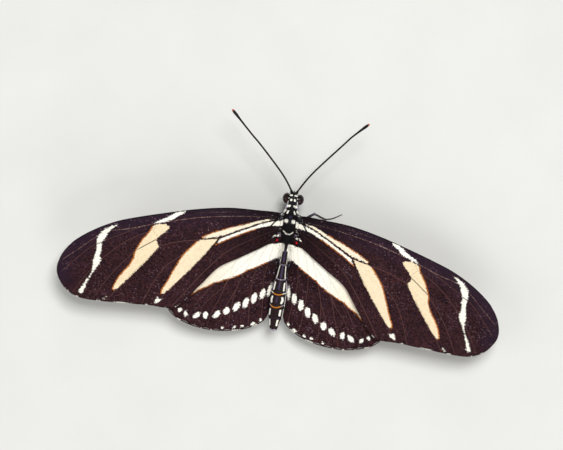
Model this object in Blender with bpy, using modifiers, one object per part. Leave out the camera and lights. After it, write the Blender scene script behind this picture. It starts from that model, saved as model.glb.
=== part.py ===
"""Zebra longwing butterfly, Heliconius charithonia, life size, standing with its wings spread flat.

The head points to -Y, the animal's left side is +X, and its feet stand on z = 0. Sizes and places
are in millimetres, measured outward from the middle (x), rearward from the line through the
forewing hinges (y) and up from the ground (z). MM turns them into metres as each mesh is made.
"""

import math

import bmesh
import bpy
import numpy as np
from mathutils import Vector
from mathutils.geometry import delaunay_2d_cdt

MM = 0.001
GAP = 0.3                   # clear space between two parts that meet
HINGE_LINE_Y = -1.23        # puts the middle of the whole animal, feelers included, over the origin

# Trunk, from the face to the tip of the abdomen: (y, height of the middle, half width, half height)
TRUNK_STATIONS = (
    (-5.75, 5.80, 0.30, 0.45), (-5.60, 5.85, 0.75, 0.90), (-5.10, 5.95, 1.10, 1.30),
    (-4.40, 6.00, 1.32, 1.50), (-3.60, 6.00, 1.28, 1.35), (-3.10, 5.98, 1.26, 1.28),
    (-2.60, 5.95, 1.44, 1.52), (-2.00, 5.88, 1.56, 1.78), (-1.60, 5.80, 1.74, 2.02),
    (-0.90, 5.70, 1.92, 2.38), (0.00, 5.65, 1.92, 2.56), (1.20, 5.65, 1.80, 2.60),
    (2.30, 5.70, 1.58, 2.42), (3.20, 5.82, 1.30, 2.05), (4.00, 6.02, 0.96, 1.50),
    (4.60, 6.15, 0.66, 1.10), (6.00, 6.32, 0.62, 0.98), (7.20, 6.40, 0.74, 1.02),
    (8.35, 6.45, 0.88, 1.08), (10.0, 6.50, 1.06, 1.17), (12.0, 6.52, 1.36, 1.31),
    (13.9, 6.50, 1.54, 1.41), (16.9, 6.40, 1.56, 1.37), (18.7, 6.28, 1.42, 1.22),
    (20.0, 6.18, 1.16, 0.98), (21.1, 6.10, 0.76, 0.66), (21.55, 6.07, 0.30, 0.30),
)
TRUNK_SIDES = 20
HEAD_SPAN = (-5.75, -3.45)
NECK_SPAN = (-3.15, -2.05)
THORAX_SPAN = (-1.75, 4.10)
ABDOMEN_SPAN = (4.40, 21.55)
RING_SPACING = 0.55
ABDOMEN_JOINTS = (6.1, 8.35, 11.4, 14.2, 16.9, 19.1, 20.6)
SEGMENT_RINGS = ((0.0, 0.95), (0.30, 1.0), (0.65, 1.0), (0.94, 1.02))   # (share of length, size)

EYE_CENTRE = (1.05, -4.30, 6.10)
EYE_RADII = (1.05, 1.15, 1.25)
EYE_ROOT_X = 0.95           # the flat inner side of each eye
EYE_SEGMENTS = (20, 12)

# Feelers, palps and the coiled tongue
ANTENNA_ROUTES = {
    "left": ((0.40, -5.00, 6.80), (0.55, -5.80, 7.35), (2.10, -7.94, 7.80), (4.04, -10.04, 8.20),
             (7.77, -13.65, 8.95), (10.07, -15.68, 9.40), (14.27, -19.63, 10.30)),
    "right": ((0.40, -5.00, 6.80), (0.60, -5.90, 7.35), (2.18, -8.59, 7.90), (4.15, -11.30, 8.45),
              (7.83, -15.84, 9.35), (9.52, -17.90, 9.75), (12.36, -20.81, 10.30)),
}
ANTENNA_WIDTH = 0.50
ANTENNA_CLUB_WIDTH = 0.72
ANTENNA_CLUB_LENGTH = 2.6
PALP_ROUTE = ((0.60, -4.70, 4.95), (0.68, -5.55, 4.35), (0.68, -6.02, 4.75), (0.58, -6.10, 5.60))
PALP_WIDTHS = (0.58, 0.58, 0.56, 0.36)
TONGUE_WIDTH = 0.50
TONGUE_CENTRE = (-4.75, 2.95)   # y and height of the coil's middle
TONGUE_RADII = (1.10, 0.28)     # first and last radius of the coil
TONGUE_TURNS = 1.05
TONGUE_START_ANGLE = math.radians(125)
TONGUE_POINTS = 13

# Legs, from inside the thorax to the toe: four to stand on, and the small folded front pair
FOOT_HEIGHT = 0.17
LEG_ROUTES = {
    "midleg_left": (1, (
        (0.60, 0.60, 4.00), (1.20, 0.60, 2.70), (4.60, 0.30, 4.90), (6.50, 1.70, 0.85),
        (7.10, 2.10, FOOT_HEIGHT), (8.30, 2.90, FOOT_HEIGHT), (9.30, 3.30, FOOT_HEIGHT))),
    "midleg_right": (-1, (
        (0.60, 0.60, 4.00), (1.20, 0.40, 2.70), (4.49, -2.07, 5.00), (6.74, -1.40, 0.80),
        (7.30, -1.45, FOOT_HEIGHT), (8.30, -1.75, FOOT_HEIGHT), (9.81, -2.70, FOOT_HEIGHT))),
    "hindleg_left": (1, (
        (0.60, 2.00, 4.20), (1.10, 2.60, 2.80), (3.90, 6.40, 4.60), (5.20, 11.10, 0.80),
        (5.50, 11.90, FOOT_HEIGHT), (5.90, 13.40, FOOT_HEIGHT), (6.40, 15.20, FOOT_HEIGHT))),
    "hindleg_right": (-1, (
        (0.60, 2.00, 4.20), (1.10, 2.60, 2.80), (3.80, 6.60, 4.60), (5.30, 11.00, 0.80),
        (5.70, 11.80, FOOT_HEIGHT), (6.20, 13.20, FOOT_HEIGHT), (7.00, 14.90, FOOT_HEIGHT))),
}
LEG_WIDTHS = (0.90, 0.80, 0.66, 0.54, 0.50, 0.50, 0.36)
FORELEG_ROUTE = ((0.60, -0.40, 4.20), (1.05, -1.00, 2.90), (1.10, -2.70, 2.75), (0.95, -3.90, 3.40))
FORELEG_WIDTHS = (0.70, 0.62, 0.56, 0.40)
LEG_BEND = 0.45             # how far either side of a joint a leg starts to turn
TUBE_SPACING = 0.8
FEELER_SPACING = 1.2
FINE_SPACING = 0.5          # along the palps and the tongue

# Wings, as (x, y) seen from above, with x outward from the middle
FOREWING_ROOT = (-1.15, 3.70)   # where its root starts and ends along the thorax
FOREWING_EDGE = (
    (6.0, -1.15), (11.7, -0.8), (17.5, 0.3), (23.4, 1.9), (29.3, 3.7), (33.2, 5.15),
    (37.2, 7.35), (40.6, 10.0), (42.5, 12.6), (43.25, 15.4), (42.7, 17.4), (41.0, 19.5),
    (38.3, 20.75), (34.5, 20.9), (28.0, 20.5), (24.3, 20.25), (21.5, 20.3), (19.6, 20.05),
    (17.5, 18.1), (15.0, 14.6), (12.2, 10.95), (8.4, 8.45), (5.2, 6.35), (3.4, 5.1),
)
HINDWING_ROOT = (1.90, 4.60)
HINDWING_EDGE = (
    (4.5, 1.75), (9.0, 3.5), (14.5, 7.5), (18.0, 12.0), (20.5, 17.0), (21.0, 20.0), (19.5, 21.7),
    (17.0, 22.7), (14.0, 23.3), (10.3, 23.25), (7.2, 22.7), (5.1, 22.0), (3.1, 20.9),
    (1.85, 19.7), (1.35, 18.2), (1.25, 16.0), (1.3, 13.5), (1.2, 11.0), (1.0, 8.0), (0.95, 6.0),
)
FOREWING_VEINS = (
    ((2.6, -0.75), (7.5, -0.5), (13.6, 0.3), (20.0, 1.5)),
    ((2.6, -0.3), (9.7, 0.55), (17.2, 1.95), (24.7, 4.15), (30.3, 6.1), (34.0, 7.15), (36.7, 8.9),
     (39.3, 11.3), (43.0, 14.6)),
    ((28.0, 5.3), (32.0, 7.6), (36.3, 10.05), (39.5, 13.2), (42.9, 17.2)),
    ((25.0, 4.3), (25.9, 5.7), (30.3, 8.35), (34.6, 12.5), (37.2, 16.0), (39.6, 20.4)),
    ((25.9, 5.7), (24.8, 7.3), (28.2, 9.9), (32.4, 15.1), (35.5, 20.9)),
    ((24.8, 7.3), (24.2, 8.6), (28.9, 15.1), (32.9, 20.8)),
    ((2.5, 0.45), (4.7, 0.95), (8.35, 2.75), (13.0, 5.3), (20.0, 7.0), (24.2, 8.6)),
    ((16.6, 6.05), (19.9, 9.9), (22.3, 12.2), (24.3, 15.8), (26.0, 20.4)),
    ((13.0, 5.3), (14.3, 7.3), (19.1, 14.0), (23.8, 20.2)),
    ((2.6, 2.3), (4.9, 3.55), (10.9, 7.5), (15.0, 12.35), (20.3, 20.1)),
)
HINDWING_VEINS = (
    ((2.6, 2.6), (6.0, 4.6), (11.0, 8.6), (16.0, 14.0), (19.7, 20.0), (20.2, 21.1)),
    ((6.0, 4.6), (9.5, 10.0), (12.8, 14.4), (14.6, 17.0), (16.2, 20.0), (17.2, 22.6)),
    ((2.6, 3.2), (5.4, 6.8), (8.3, 10.5), (10.1, 13.25), (11.1, 16.5), (12.4, 20.1), (12.9, 23.3)),
    ((5.4, 6.8), (6.6, 9.6), (8.3, 14.7), (8.7, 18.5), (8.8, 23.0)),
    ((2.6, 3.2), (4.3, 7.0), (5.2, 10.5), (5.4, 15.3), (4.9, 21.9)),
    ((2.2, 4.6), (3.0, 9.0), (3.3, 12.0), (3.0, 15.5), (2.5, 20.3)),
)
COSTA_END = (43.2, 14.8)        # the stiff front rim runs as far as this
MEMBRANE_THICKNESS = 0.50
VEIN_THICKNESS = 0.86
VEIN_HALF_WIDTH = 0.45
EDGE_SPACING = 1.1
VEIN_SPACING = 1.1
FILL_SPACING = 2.4

# Height of the forewing's middle surface: a hinge height, a rise, an arch and a rear droop
WING_HINGE_HEIGHT = 6.60
WING_RISE = 0.170
WING_ARCH = 0.0030
WING_DROOP = 0.0016
WING_LAYER = 1.20               # how far the hindwing lies under the forewing
HINDWING_DROOP = 0.0025

COLOURS = {                     # linear colour and roughness of each material
    "wing_scales": ((0.020, 0.013, 0.010), 0.70),
    "body_hair": ((0.014, 0.010, 0.009), 0.85),
    "eye": ((0.030, 0.010, 0.012), 0.25),
    "leg": ((0.030, 0.022, 0.018), 0.60),
    "antenna": ((0.016, 0.012, 0.010), 0.60),
}


def clear_scene():
    """Remove every object, so that the model stands alone."""
    for item in list(bpy.data.objects):
        bpy.data.objects.remove(item, do_unlink=True)


def new_collection(name):
    """Add a collection to the scene."""
    collection = bpy.data.collections.new(name)
    bpy.context.scene.collection.children.link(collection)
    return collection


def new_material(name, colour, roughness):
    """A plain surface of one colour."""
    material = bpy.data.materials.new(name)
    material.use_nodes = True
    surface = material.node_tree.nodes["Principled BSDF"]
    surface.inputs["Base Color"].default_value = (*colour, 1.0)
    surface.inputs["Roughness"].default_value = roughness
    surface.inputs["Metallic"].default_value = 0.0
    material.diffuse_color = (*colour, 1.0)
    return material


def smooth_path(points, spacing):
    """Evenly spaced points along the smooth curve through the given ones, both ends kept."""
    knots = np.array(points, dtype=float)
    padded = np.vstack([knots[:1], knots, knots[-1:]])
    share = np.linspace(0.0, 1.0, 16, endpoint=False)[:, None]
    runs = []
    for before, start, end, after in zip(padded, padded[1:], padded[2:], padded[3:]):
        runs.append(0.5 * (2 * start + (end - before) * share
                           + (2 * before - 5 * start + 4 * end - after) * share ** 2
                           + (3 * start - before - 3 * end + after) * share ** 3))
    dense = np.vstack(runs + [knots[-1:]])
    travel = np.concatenate([[0.0], np.cumsum(np.linalg.norm(np.diff(dense, axis=0), axis=1))])
    places = np.linspace(0.0, travel[-1], max(2, round(travel[-1] / spacing) + 1))
    return np.column_stack([np.interp(places, travel, column) for column in dense.T])


TRUNK_LINE = smooth_path(TRUNK_STATIONS, 0.1)


def trunk_at(y):
    """Height of the middle, half width and half height of the trunk at one place along it."""
    return [float(np.interp(y, TRUNK_LINE[:, 0], column)) for column in TRUNK_LINE.T[1:]]


def new_object(name, mesh, collection, parent, material=None):
    """An object for a mesh, placed by the empty that marks the hinge line."""
    item = bpy.data.objects.new(name, mesh)
    collection.objects.link(item)
    item.parent = parent
    if material:
        mesh.materials.append(material)
    return item


def make_cutter(item):
    """Show a helper shape as a wire, and leave it out of the model."""
    item.hide_render = True
    item.display_type = "WIRE"


def cut_clear(item, cutter):
    """Cut one object back from a swollen copy of another."""
    modifier = item.modifiers.new(f"clear_of_{cutter.name}", "BOOLEAN")
    modifier.operation = "DIFFERENCE"
    modifier.solver = "EXACT"
    modifier.object = cutter


def shade_rounded(mesh, angle=math.radians(40)):
    """Smooth shading that keeps the sharp rims."""
    mesh.shade_smooth()
    mesh.set_sharp_from_angle(angle=angle)


def finish_mesh(name, shape):
    """Turn a closed shape into a mesh whose faces point outward, shaded smooth."""
    bmesh.ops.recalc_face_normals(shape, faces=shape.faces[:])
    if shape.calc_volume(signed=True) < 0:
        bmesh.ops.reverse_faces(shape, faces=shape.faces[:])
    mesh = bpy.data.meshes.new(name)
    shape.to_mesh(mesh)
    shape.free()
    shade_rounded(mesh)
    return mesh


def trunk_length(name, rings, swell=0.0):
    """One length of the trunk: an oval drawn on from ring to ring, each (y, size factor)."""
    shape = bmesh.new()
    bmesh.ops.create_circle(shape, segments=TRUNK_SIDES, radius=1.0)
    rim = shape.edges[:]
    for _ in rings[1:]:
        drawn = bmesh.ops.extrude_edge_only(shape, edges=rim)["geom"]
        rim = [part for part in drawn if isinstance(part, bmesh.types.BMEdge)]
        corners = [part for part in drawn if isinstance(part, bmesh.types.BMVert)]
        bmesh.ops.translate(shape, verts=corners, vec=(0, 0, 1))
    bmesh.ops.holes_fill(shape, edges=shape.edges[:])
    for vertex in shape.verts:
        across, up, number = vertex.co
        y, factor = rings[round(number)]
        middle, half_width, half_height = trunk_at(y)
        half_width = half_width * factor + swell
        half_height = half_height * factor + swell
        vertex.co = Vector((across * half_width, y, middle + up * half_height)) * MM
    return finish_mesh(name, shape)


def even_rings(span, reach=0.0):
    """Rings at even steps over a length of the trunk, lengthened by a reach at both ends."""
    start, end = span
    count = max(3, math.ceil((end - start) / RING_SPACING) + 1)
    places = list(np.linspace(start, end, count))
    places[0] -= reach
    places[-1] += reach
    return [(float(y), 1.0) for y in places]


def jointed_rings():
    """Rings of the abdomen: each segment widens to its rear rim and steps in to the next."""
    start, end = ABDOMEN_SPAN
    limits = (start, *ABDOMEN_JOINTS, end)
    rings = [(front + share * (rear - front), factor)
             for front, rear in zip(limits, limits[1:]) for share, factor in SEGMENT_RINGS]
    return rings[:-1] + [(end, 1.0)]


def eye_mesh(name, side, swell=0.0):
    """A bulging eye with a flat inner side, which faces the side of the head."""
    shape = bmesh.new()
    segments, rings = EYE_SEGMENTS
    bmesh.ops.create_uvsphere(shape, u_segments=segments, v_segments=rings, radius=1.0)
    bmesh.ops.scale(shape, vec=[radius + swell for radius in EYE_RADII], verts=shape.verts[:])
    inner = EYE_ROOT_X - EYE_CENTRE[0] - swell
    bisected = bmesh.ops.bisect_plane(shape, geom=shape.verts[:] + shape.edges[:] + shape.faces[:],
                                      plane_co=(inner, 0, 0), plane_no=(1, 0, 0), clear_inner=True)
    rim = [part for part in bisected["geom_cut"] if isinstance(part, bmesh.types.BMEdge)]
    bmesh.ops.contextual_create(shape, geom=rim)
    bmesh.ops.scale(shape, vec=(side * MM, MM, MM), verts=shape.verts[:])
    return finish_mesh(name, shape)


def tube_mesh(name, route, widths, side, spacing):
    """A round tapering limb along a smooth route, flattened where it rests on the ground."""
    line = smooth_path([(*place, width) for place, width in zip(route, widths)], spacing)
    curve = bpy.data.curves.new(name, "CURVE")
    curve.dimensions = "3D"
    curve.bevel_depth = MM
    curve.bevel_resolution = 2
    curve.use_fill_caps = True
    spline = curve.splines.new("POLY")
    spline.points.add(len(line) - 1)
    for point, (x, y, z, width) in zip(spline.points, line):
        point.co = (side * x * MM, y * MM, z * MM, 1.0)
        point.radius = width / 2
    helper = bpy.data.objects.new(name, curve)
    bpy.context.scene.collection.objects.link(helper)
    drawn = helper.evaluated_get(bpy.context.evaluated_depsgraph_get())
    shape = bmesh.new()
    shape.from_mesh(bpy.data.meshes.new_from_object(drawn))
    bpy.data.objects.remove(helper)
    bpy.data.curves.remove(curve)
    bmesh.ops.remove_doubles(shape, verts=shape.verts[:], dist=0.01 * MM)
    for vertex in shape.verts:
        vertex.co.z = max(vertex.co.z, 0.0)
    return finish_mesh(name, shape)


def with_joints(route, widths):
    """The leg's route with straight stretches, which turn only close to each joint."""
    places = np.array([(*place, width) for place, width in zip(route, widths)])
    joined = [places[0]]
    for before, joint, after in zip(places, places[1:], places[2:]):
        for end in (before, after):
            length = np.linalg.norm(end[:3] - joint[:3])
            joined.append(joint + (end - joint) * min(LEG_BEND / length, 0.45))
    joined.append(places[-1])
    return [tuple(place[:3]) for place in joined], [float(place[3]) for place in joined]


def with_club(route):
    """The feeler's route with points added where its club starts, is widest and ends."""
    tip = np.array(route[-1])
    back = np.array(route[-2]) - tip
    back /= np.linalg.norm(back)
    club = [tuple(tip + back * ANTENNA_CLUB_LENGTH * share) for share in (1.0, 0.3, 0.1)]
    widths = [ANTENNA_WIDTH] * len(route[:-1]) + [ANTENNA_WIDTH, ANTENNA_CLUB_WIDTH,
                                                  0.85 * ANTENNA_CLUB_WIDTH, 0.40]
    return (*route[:-1], *club, route[-1]), widths


def tongue_route():
    """The coiled tongue, from inside the head down and round under it."""
    middle_y, middle_z = TONGUE_CENTRE
    outer, inner = TONGUE_RADII
    points = [(0.0, -5.20, 4.95)]
    for share in np.linspace(0.0, 1.0, TONGUE_POINTS):
        angle = TONGUE_START_ANGLE + share * TONGUE_TURNS * 2 * math.pi
        radius = outer + (inner - outer) * share
        points.append((0.0, middle_y + radius * math.cos(angle), middle_z + radius * math.sin(angle)))
    return points


def wing_height(x, y):
    """Height of the forewing's middle surface."""
    return WING_HINGE_HEIGHT + WING_RISE * x - WING_ARCH * x ** 2 - WING_DROOP * y ** 2


def hindwing_height(x, y):
    """The hindwing lies one layer under the forewing and droops a little more to the rear."""
    return wing_height(x, y) - WING_LAYER - HINDWING_DROOP * max(0.0, y - 4.0) ** 2


def root_edge(root):
    """The wing's root, a gap away from the side of the body, from its rear end to its front."""
    front, rear = root
    return [(trunk_at(y)[1] + GAP, y) for y in np.linspace(rear, front, 4)]


def nearest_gap(point, line):
    """Distance from a point to a line of points."""
    starts = line[:-1]
    steps = line[1:] - starts
    share = ((point - starts) * steps).sum(axis=1) / np.maximum((steps ** 2).sum(axis=1), 1e-12)
    feet = starts + np.clip(share, 0.0, 1.0)[:, None] * steps
    return float(np.linalg.norm(feet - point, axis=1).min())


def wing_mesh(name, root, edge, vein_routes, height, side):
    """An open sheet of triangles inside the wing's edge, with every vein as a run of its edges.

    Returns the mesh and the numbers of its vertices that lie on a vein or on the stiff front rim.
    """
    root_line = np.array(root_edge(root))
    rim = smooth_path([root_line[-1], *edge, root_line[0]], EDGE_SPACING)
    outline = np.vstack([rim, root_line[1:-1]])
    closed = np.vstack([outline, outline[:1]])
    veins = [smooth_path(route, VEIN_SPACING) for route in vein_routes]
    for vein in veins:
        near = int(np.argmin(np.linalg.norm(outline - vein[-1], axis=1)))
        if np.linalg.norm(outline[near] - vein[-1]) < EDGE_SPACING:
            vein[-1] = outline[near]

    points = [tuple(place) for place in outline]
    edges = []
    for vein in veins:
        first = len(points)
        points += [tuple(place) for place in vein]
        edges += [(first + step, first + step + 1) for step in range(len(vein) - 1)]
    for number, vein in enumerate(veins):
        for before, place, after in zip(vein, vein[1:], vein[2:]):
            along = (after - before) / np.linalg.norm(after - before)
            for flank in (-VEIN_HALF_WIDTH, VEIN_HALF_WIDTH):
                spot = place + flank * np.array([-along[1], along[0]])
                others = [line for index, line in enumerate(veins) if index != number]
                if min(nearest_gap(spot, line) for line in [closed, *others]) > 0.8 * VEIN_HALF_WIDTH:
                    points.append(tuple(spot))
    low, high = outline.min(axis=0), outline.max(axis=0)
    for x in np.arange(low[0], high[0], FILL_SPACING):
        for y in np.arange(low[1], high[1], FILL_SPACING):
            spot = np.array([x, y])
            if min(nearest_gap(spot, line) for line in [closed, *veins]) > 0.5 * FILL_SPACING:
                points.append((x, y))

    placed, _, faces, *_ = delaunay_2d_cdt([Vector(place) for place in points], edges,
                                           [list(range(len(outline)))], 1, 1e-3)
    used = sorted({number for face in faces for number in face})
    order = {number: place for place, number in enumerate(used)}
    mesh = bpy.data.meshes.new(name)
    mesh.from_pydata([(side * x * MM, y * MM, height(x, y) * MM) for x, y in (placed[n] for n in used)],
                     [], [[order[number] for number in face] for face in faces])
    costa = rim[:1 + int(np.argmin(np.linalg.norm(rim - np.array(COSTA_END), axis=1)))]
    raised = [order[number] for number in used
              if min(nearest_gap(np.array(placed[number]), line) for line in [costa, *veins]) < 0.02]
    return mesh, raised


def thicken(item, raised):
    """Turn the sheet into a membrane with its veins standing out of both faces."""
    group = item.vertex_groups.new(name="veins")
    group.add(raised, 1.0, "REPLACE")
    shell = item.modifiers.new("membrane", "SOLIDIFY")
    shell.thickness = VEIN_THICKNESS * MM
    shell.offset = 0.0
    shell.vertex_group = "veins"
    shell.thickness_vertex_group = MEMBRANE_THICKNESS / VEIN_THICKNESS


def build_trunk(parts, cutters, frame, skin):
    """Head, neck, thorax and abdomen, parted by thin gaps, with swollen cutters of two of them."""
    spans = {"head": HEAD_SPAN, "neck": NECK_SPAN, "thorax": THORAX_SPAN}
    lengths = {name: even_rings(span) for name, span in spans.items()}
    lengths["abdomen"] = jointed_rings()
    for name, rings in lengths.items():
        new_object(name, trunk_length(name, rings), parts, frame, skin)
    clear = {}
    for name in ("head", "thorax"):
        swollen = trunk_length(f"clear_{name}", even_rings(spans[name], GAP), GAP)
        clear[name] = new_object(f"clear_{name}", swollen, cutters, frame)
        make_cutter(clear[name])
    return clear


def build_eyes(parts, cutters, frame, surface):
    """Two eyes, sunk in the sides of the head with a gap all round."""
    for side, word in ((1, "left"), (-1, "right")):
        place = Vector((side * EYE_CENTRE[0], *EYE_CENTRE[1:])) * MM
        eye = new_object(f"eye_{word}", eye_mesh(f"eye_{word}", side), parts, frame, surface)
        socket = new_object(f"clear_eye_{word}", eye_mesh(f"clear_eye_{word}", side, GAP), cutters, frame)
        eye.location = place
        socket.location = place
        make_cutter(socket)
        cut_clear(parts.objects["head"], socket)
        cut_clear(parts.objects["neck"], socket)


def build_head_limbs(parts, clear, frame, surface):
    """Feelers, palps and the coiled tongue, each cut a gap clear of the head."""
    for side, word in ((1, "left"), (-1, "right")):
        route, widths = with_club(ANTENNA_ROUTES[word])
        limbs = {
            f"antenna_{word}": (route, widths, side, FEELER_SPACING),
            f"palp_{word}": (PALP_ROUTE, PALP_WIDTHS, side, FINE_SPACING),
        }
        for name, design in limbs.items():
            cut_clear(new_object(name, tube_mesh(name, *design), parts, frame, surface), clear["head"])
    route = tongue_route()
    mesh = tube_mesh("proboscis", route, [TONGUE_WIDTH] * len(route), 1, FINE_SPACING)
    cut_clear(new_object("proboscis", mesh, parts, frame, surface), clear["head"])


def build_legs(parts, clear, frame, surface):
    """Four walking legs and the small folded front pair, cut a gap clear of the thorax."""
    routes = {name: (side, route, LEG_WIDTHS) for name, (side, route) in LEG_ROUTES.items()}
    for side, word in ((1, "left"), (-1, "right")):
        routes[f"foreleg_{word}"] = (side, FORELEG_ROUTE, FORELEG_WIDTHS)
    for name, (side, route, widths) in routes.items():
        route, widths = with_joints(route, widths)
        mesh = tube_mesh(name, route, widths, side, TUBE_SPACING)
        cut_clear(new_object(name, mesh, parts, frame, surface), clear["thorax"])


def build_wings(parts, frame, surface):
    """Two forewings over two hindwings, the same on both sides."""
    designs = {
        "forewing": (FOREWING_ROOT, FOREWING_EDGE, FOREWING_VEINS, wing_height),
        "hindwing": (HINDWING_ROOT, HINDWING_EDGE, HINDWING_VEINS, hindwing_height),
    }
    for kind, design in designs.items():
        for side, word in ((1, "left"), (-1, "right")):
            mesh, raised = wing_mesh(f"{kind}_{word}", *design, side)
            wing = new_object(f"{kind}_{word}", mesh, parts, frame, surface)
            thicken(wing, raised)


def main():
    """Build the butterfly."""
    clear_scene()
    parts = new_collection("zebra_longwing")
    cutters = new_collection("cutters")
    surfaces = {name: new_material(name, *look) for name, look in COLOURS.items()}
    frame = bpy.data.objects.new("hinge_line", None)
    frame.empty_display_size = 0.005
    frame.location = (0.0, HINGE_LINE_Y * MM, 0.0)
    parts.objects.link(frame)
    bpy.context.view_layer.update()

    clear = build_trunk(parts, cutters, frame, surfaces["body_hair"])
    build_eyes(parts, cutters, frame, surfaces["eye"])
    build_head_limbs(parts, clear, frame, surfaces["antenna"])
    build_legs(parts, clear, frame, surfaces["leg"])
    build_wings(parts, frame, surfaces["wing_scales"])


main()
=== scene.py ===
import logging
import math
from contextlib import contextmanager
from dataclasses import dataclass, field, replace
from enum import Enum
from functools import partial
from typing import Any, Callable, ClassVar, Iterator, Sequence

import bpy
import numpy as np
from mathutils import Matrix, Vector


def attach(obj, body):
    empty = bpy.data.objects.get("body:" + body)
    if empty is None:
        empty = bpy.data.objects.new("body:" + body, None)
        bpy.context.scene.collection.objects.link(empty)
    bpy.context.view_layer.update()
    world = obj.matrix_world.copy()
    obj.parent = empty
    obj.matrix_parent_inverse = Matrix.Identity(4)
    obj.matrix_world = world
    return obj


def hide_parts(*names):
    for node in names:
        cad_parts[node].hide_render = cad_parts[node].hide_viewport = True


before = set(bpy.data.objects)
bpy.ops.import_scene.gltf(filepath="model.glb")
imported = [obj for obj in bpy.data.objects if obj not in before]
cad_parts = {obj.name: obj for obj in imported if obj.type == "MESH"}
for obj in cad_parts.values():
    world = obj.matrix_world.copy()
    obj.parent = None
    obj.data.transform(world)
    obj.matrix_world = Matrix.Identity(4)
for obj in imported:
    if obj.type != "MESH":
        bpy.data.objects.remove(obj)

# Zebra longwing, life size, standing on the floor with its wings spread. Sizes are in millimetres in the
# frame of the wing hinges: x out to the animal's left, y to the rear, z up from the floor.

Line = Sequence[tuple[float, ...]] | np.ndarray
Place = tuple[float, float, float]
Pair = tuple[float, float]
Adder = Callable[..., bpy.types.Node]
Reads = dict[str, bpy.types.NodeSocket]

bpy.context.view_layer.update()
MM = 0.001
HINGE = np.array([0.0, -1.23, 0.0])     # origin of the hinge frame, in the model's frame
SEED = 41
OUTSIDE = -1.0                          # a depth that is far outside every mark
INSIDE, OFF = 0.2, -0.5                 # depths of hair that takes a mark's colour, and of hair that doesn't
LOG = logging.getLogger("longwing")


class Side(Enum):
    """The animal's own sides, by the sign of x."""

    LEFT = 1
    RIGHT = -1

    @property
    def label(self) -> str:
        """The word that the node names end with."""
        return self.name.lower()

    @property
    def mirror(self) -> np.ndarray:
        """What turns a place on the left into the same place on this side."""
        return np.array([self.value, 1.0, 1.0])


# Shared geometry


def to_model(points: np.ndarray) -> np.ndarray:
    """Move points from the hinge frame in millimetres to the model's frame in metres."""
    return (points + HINGE) * MM


def travel_along(line: np.ndarray) -> np.ndarray:
    """Measure how far along a line each of its points lies."""
    return np.concatenate([[0.0], np.cumsum(np.linalg.norm(np.diff(line, axis=0), axis=1))])


def unit(rows: np.ndarray) -> np.ndarray:
    """Bring every row to length one."""
    return rows / np.maximum(np.linalg.norm(rows, axis=1), 1e-9)[:, None]


def crosswise(rows: np.ndarray, axes: np.ndarray) -> np.ndarray:
    """Keep of every row what lies across its axis, at length one."""
    return unit(rows - axes * np.sum(rows * axes, axis=1)[:, None])


def smooth_path(points: Line, spacing: float) -> np.ndarray:
    """Draw the smooth curve through some points.

    Args:
        points: Points of any number of columns.
        spacing: Distance between the points of the result.

    Returns:
        Evenly spaced points along the curve, both ends kept.
    """
    knots = np.array(points, dtype=float)
    padded = np.vstack([knots[:1], knots, knots[-1:]])
    share = np.linspace(0.0, 1.0, 16, endpoint=False)[:, None]
    runs = []
    for before, start, end, after in zip(padded, padded[1:], padded[2:], padded[3:]):
        runs.append(0.5 * (2 * start + (end - before) * share
                           + (2 * before - 5 * start + 4 * end - after) * share ** 2
                           + (3 * start - before - 3 * end + after) * share ** 3))
    dense = np.vstack(runs + [knots[-1:]])
    travel = travel_along(dense)
    places = np.linspace(0.0, travel[-1], max(2, round(travel[-1] / spacing) + 1))
    return np.column_stack([np.interp(places, travel, column) for column in dense.T])


def nearest_on(points: np.ndarray, line: Line) -> tuple[np.ndarray, np.ndarray]:
    """Find the nearest place on an open line.

    Args:
        points: Points in plan, one row each.
        line: The corners of the line.

    Returns:
        The distance to the line and the nearest point on it, for each point.
    """
    line = np.asarray(line)
    best = np.full(len(points), np.inf)
    feet = np.zeros((len(points), 2))
    for start, end in zip(line, line[1:]):
        step = end - start
        share = np.clip((points - start) @ step / max(step @ step, 1e-12), 0.0, 1.0)
        foot = start + share[:, None] * step
        gap = np.hypot(*(points - foot).T)
        nearer = gap < best
        best = np.where(nearer, gap, best)
        feet[nearer] = foot[nearer]
    return best, feet


def depth_inside(points: np.ndarray, outline: Line) -> np.ndarray:
    """Measure how deep points lie inside a closed outline.

    Args:
        points: Points in plan, one row each.
        outline: The corners of the outline, in order.

    Returns:
        The distance to the outline, negative outside it.
    """
    closed = np.vstack([outline, outline[:1]])
    gap, _ = nearest_on(points, closed)
    inside = np.zeros(len(points), dtype=bool)
    x, y = points.T
    for (x0, y0), (x1, y1) in zip(closed, closed[1:]):
        if y0 != y1:
            inside ^= ((y0 > y) != (y1 > y)) & (x < (x1 - x0) * (y - y0) / (y1 - y0) + x0)
    return np.where(inside, gap, -gap)


def clearly(chosen: np.ndarray) -> np.ndarray:
    """Give hair a depth well inside a mark where it is chosen, and outside it elsewhere."""
    return np.where(chosen, INSIDE, OFF)


def deepest(depths: list[np.ndarray], count: int) -> np.ndarray:
    """Take the greatest of some depths at each point, far outside where there is none."""
    return np.max([*depths, np.full(count, OUTSIDE)], axis=0)


def depth_in_lines(points: np.ndarray, lines: Sequence[tuple[Line, float]],
                   margin: float = 0.0) -> np.ndarray:
    """Measure how deep points lie inside the widest of some drawn lines.

    Args:
        points: Points in plan, one row each.
        lines: Lines with their half widths.
        margin: How much wider each line is taken.

    Returns:
        The depth, negative outside all of them.
    """
    return deepest([width + margin - nearest_on(points, line)[0] for line, width in lines], len(points))


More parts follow.
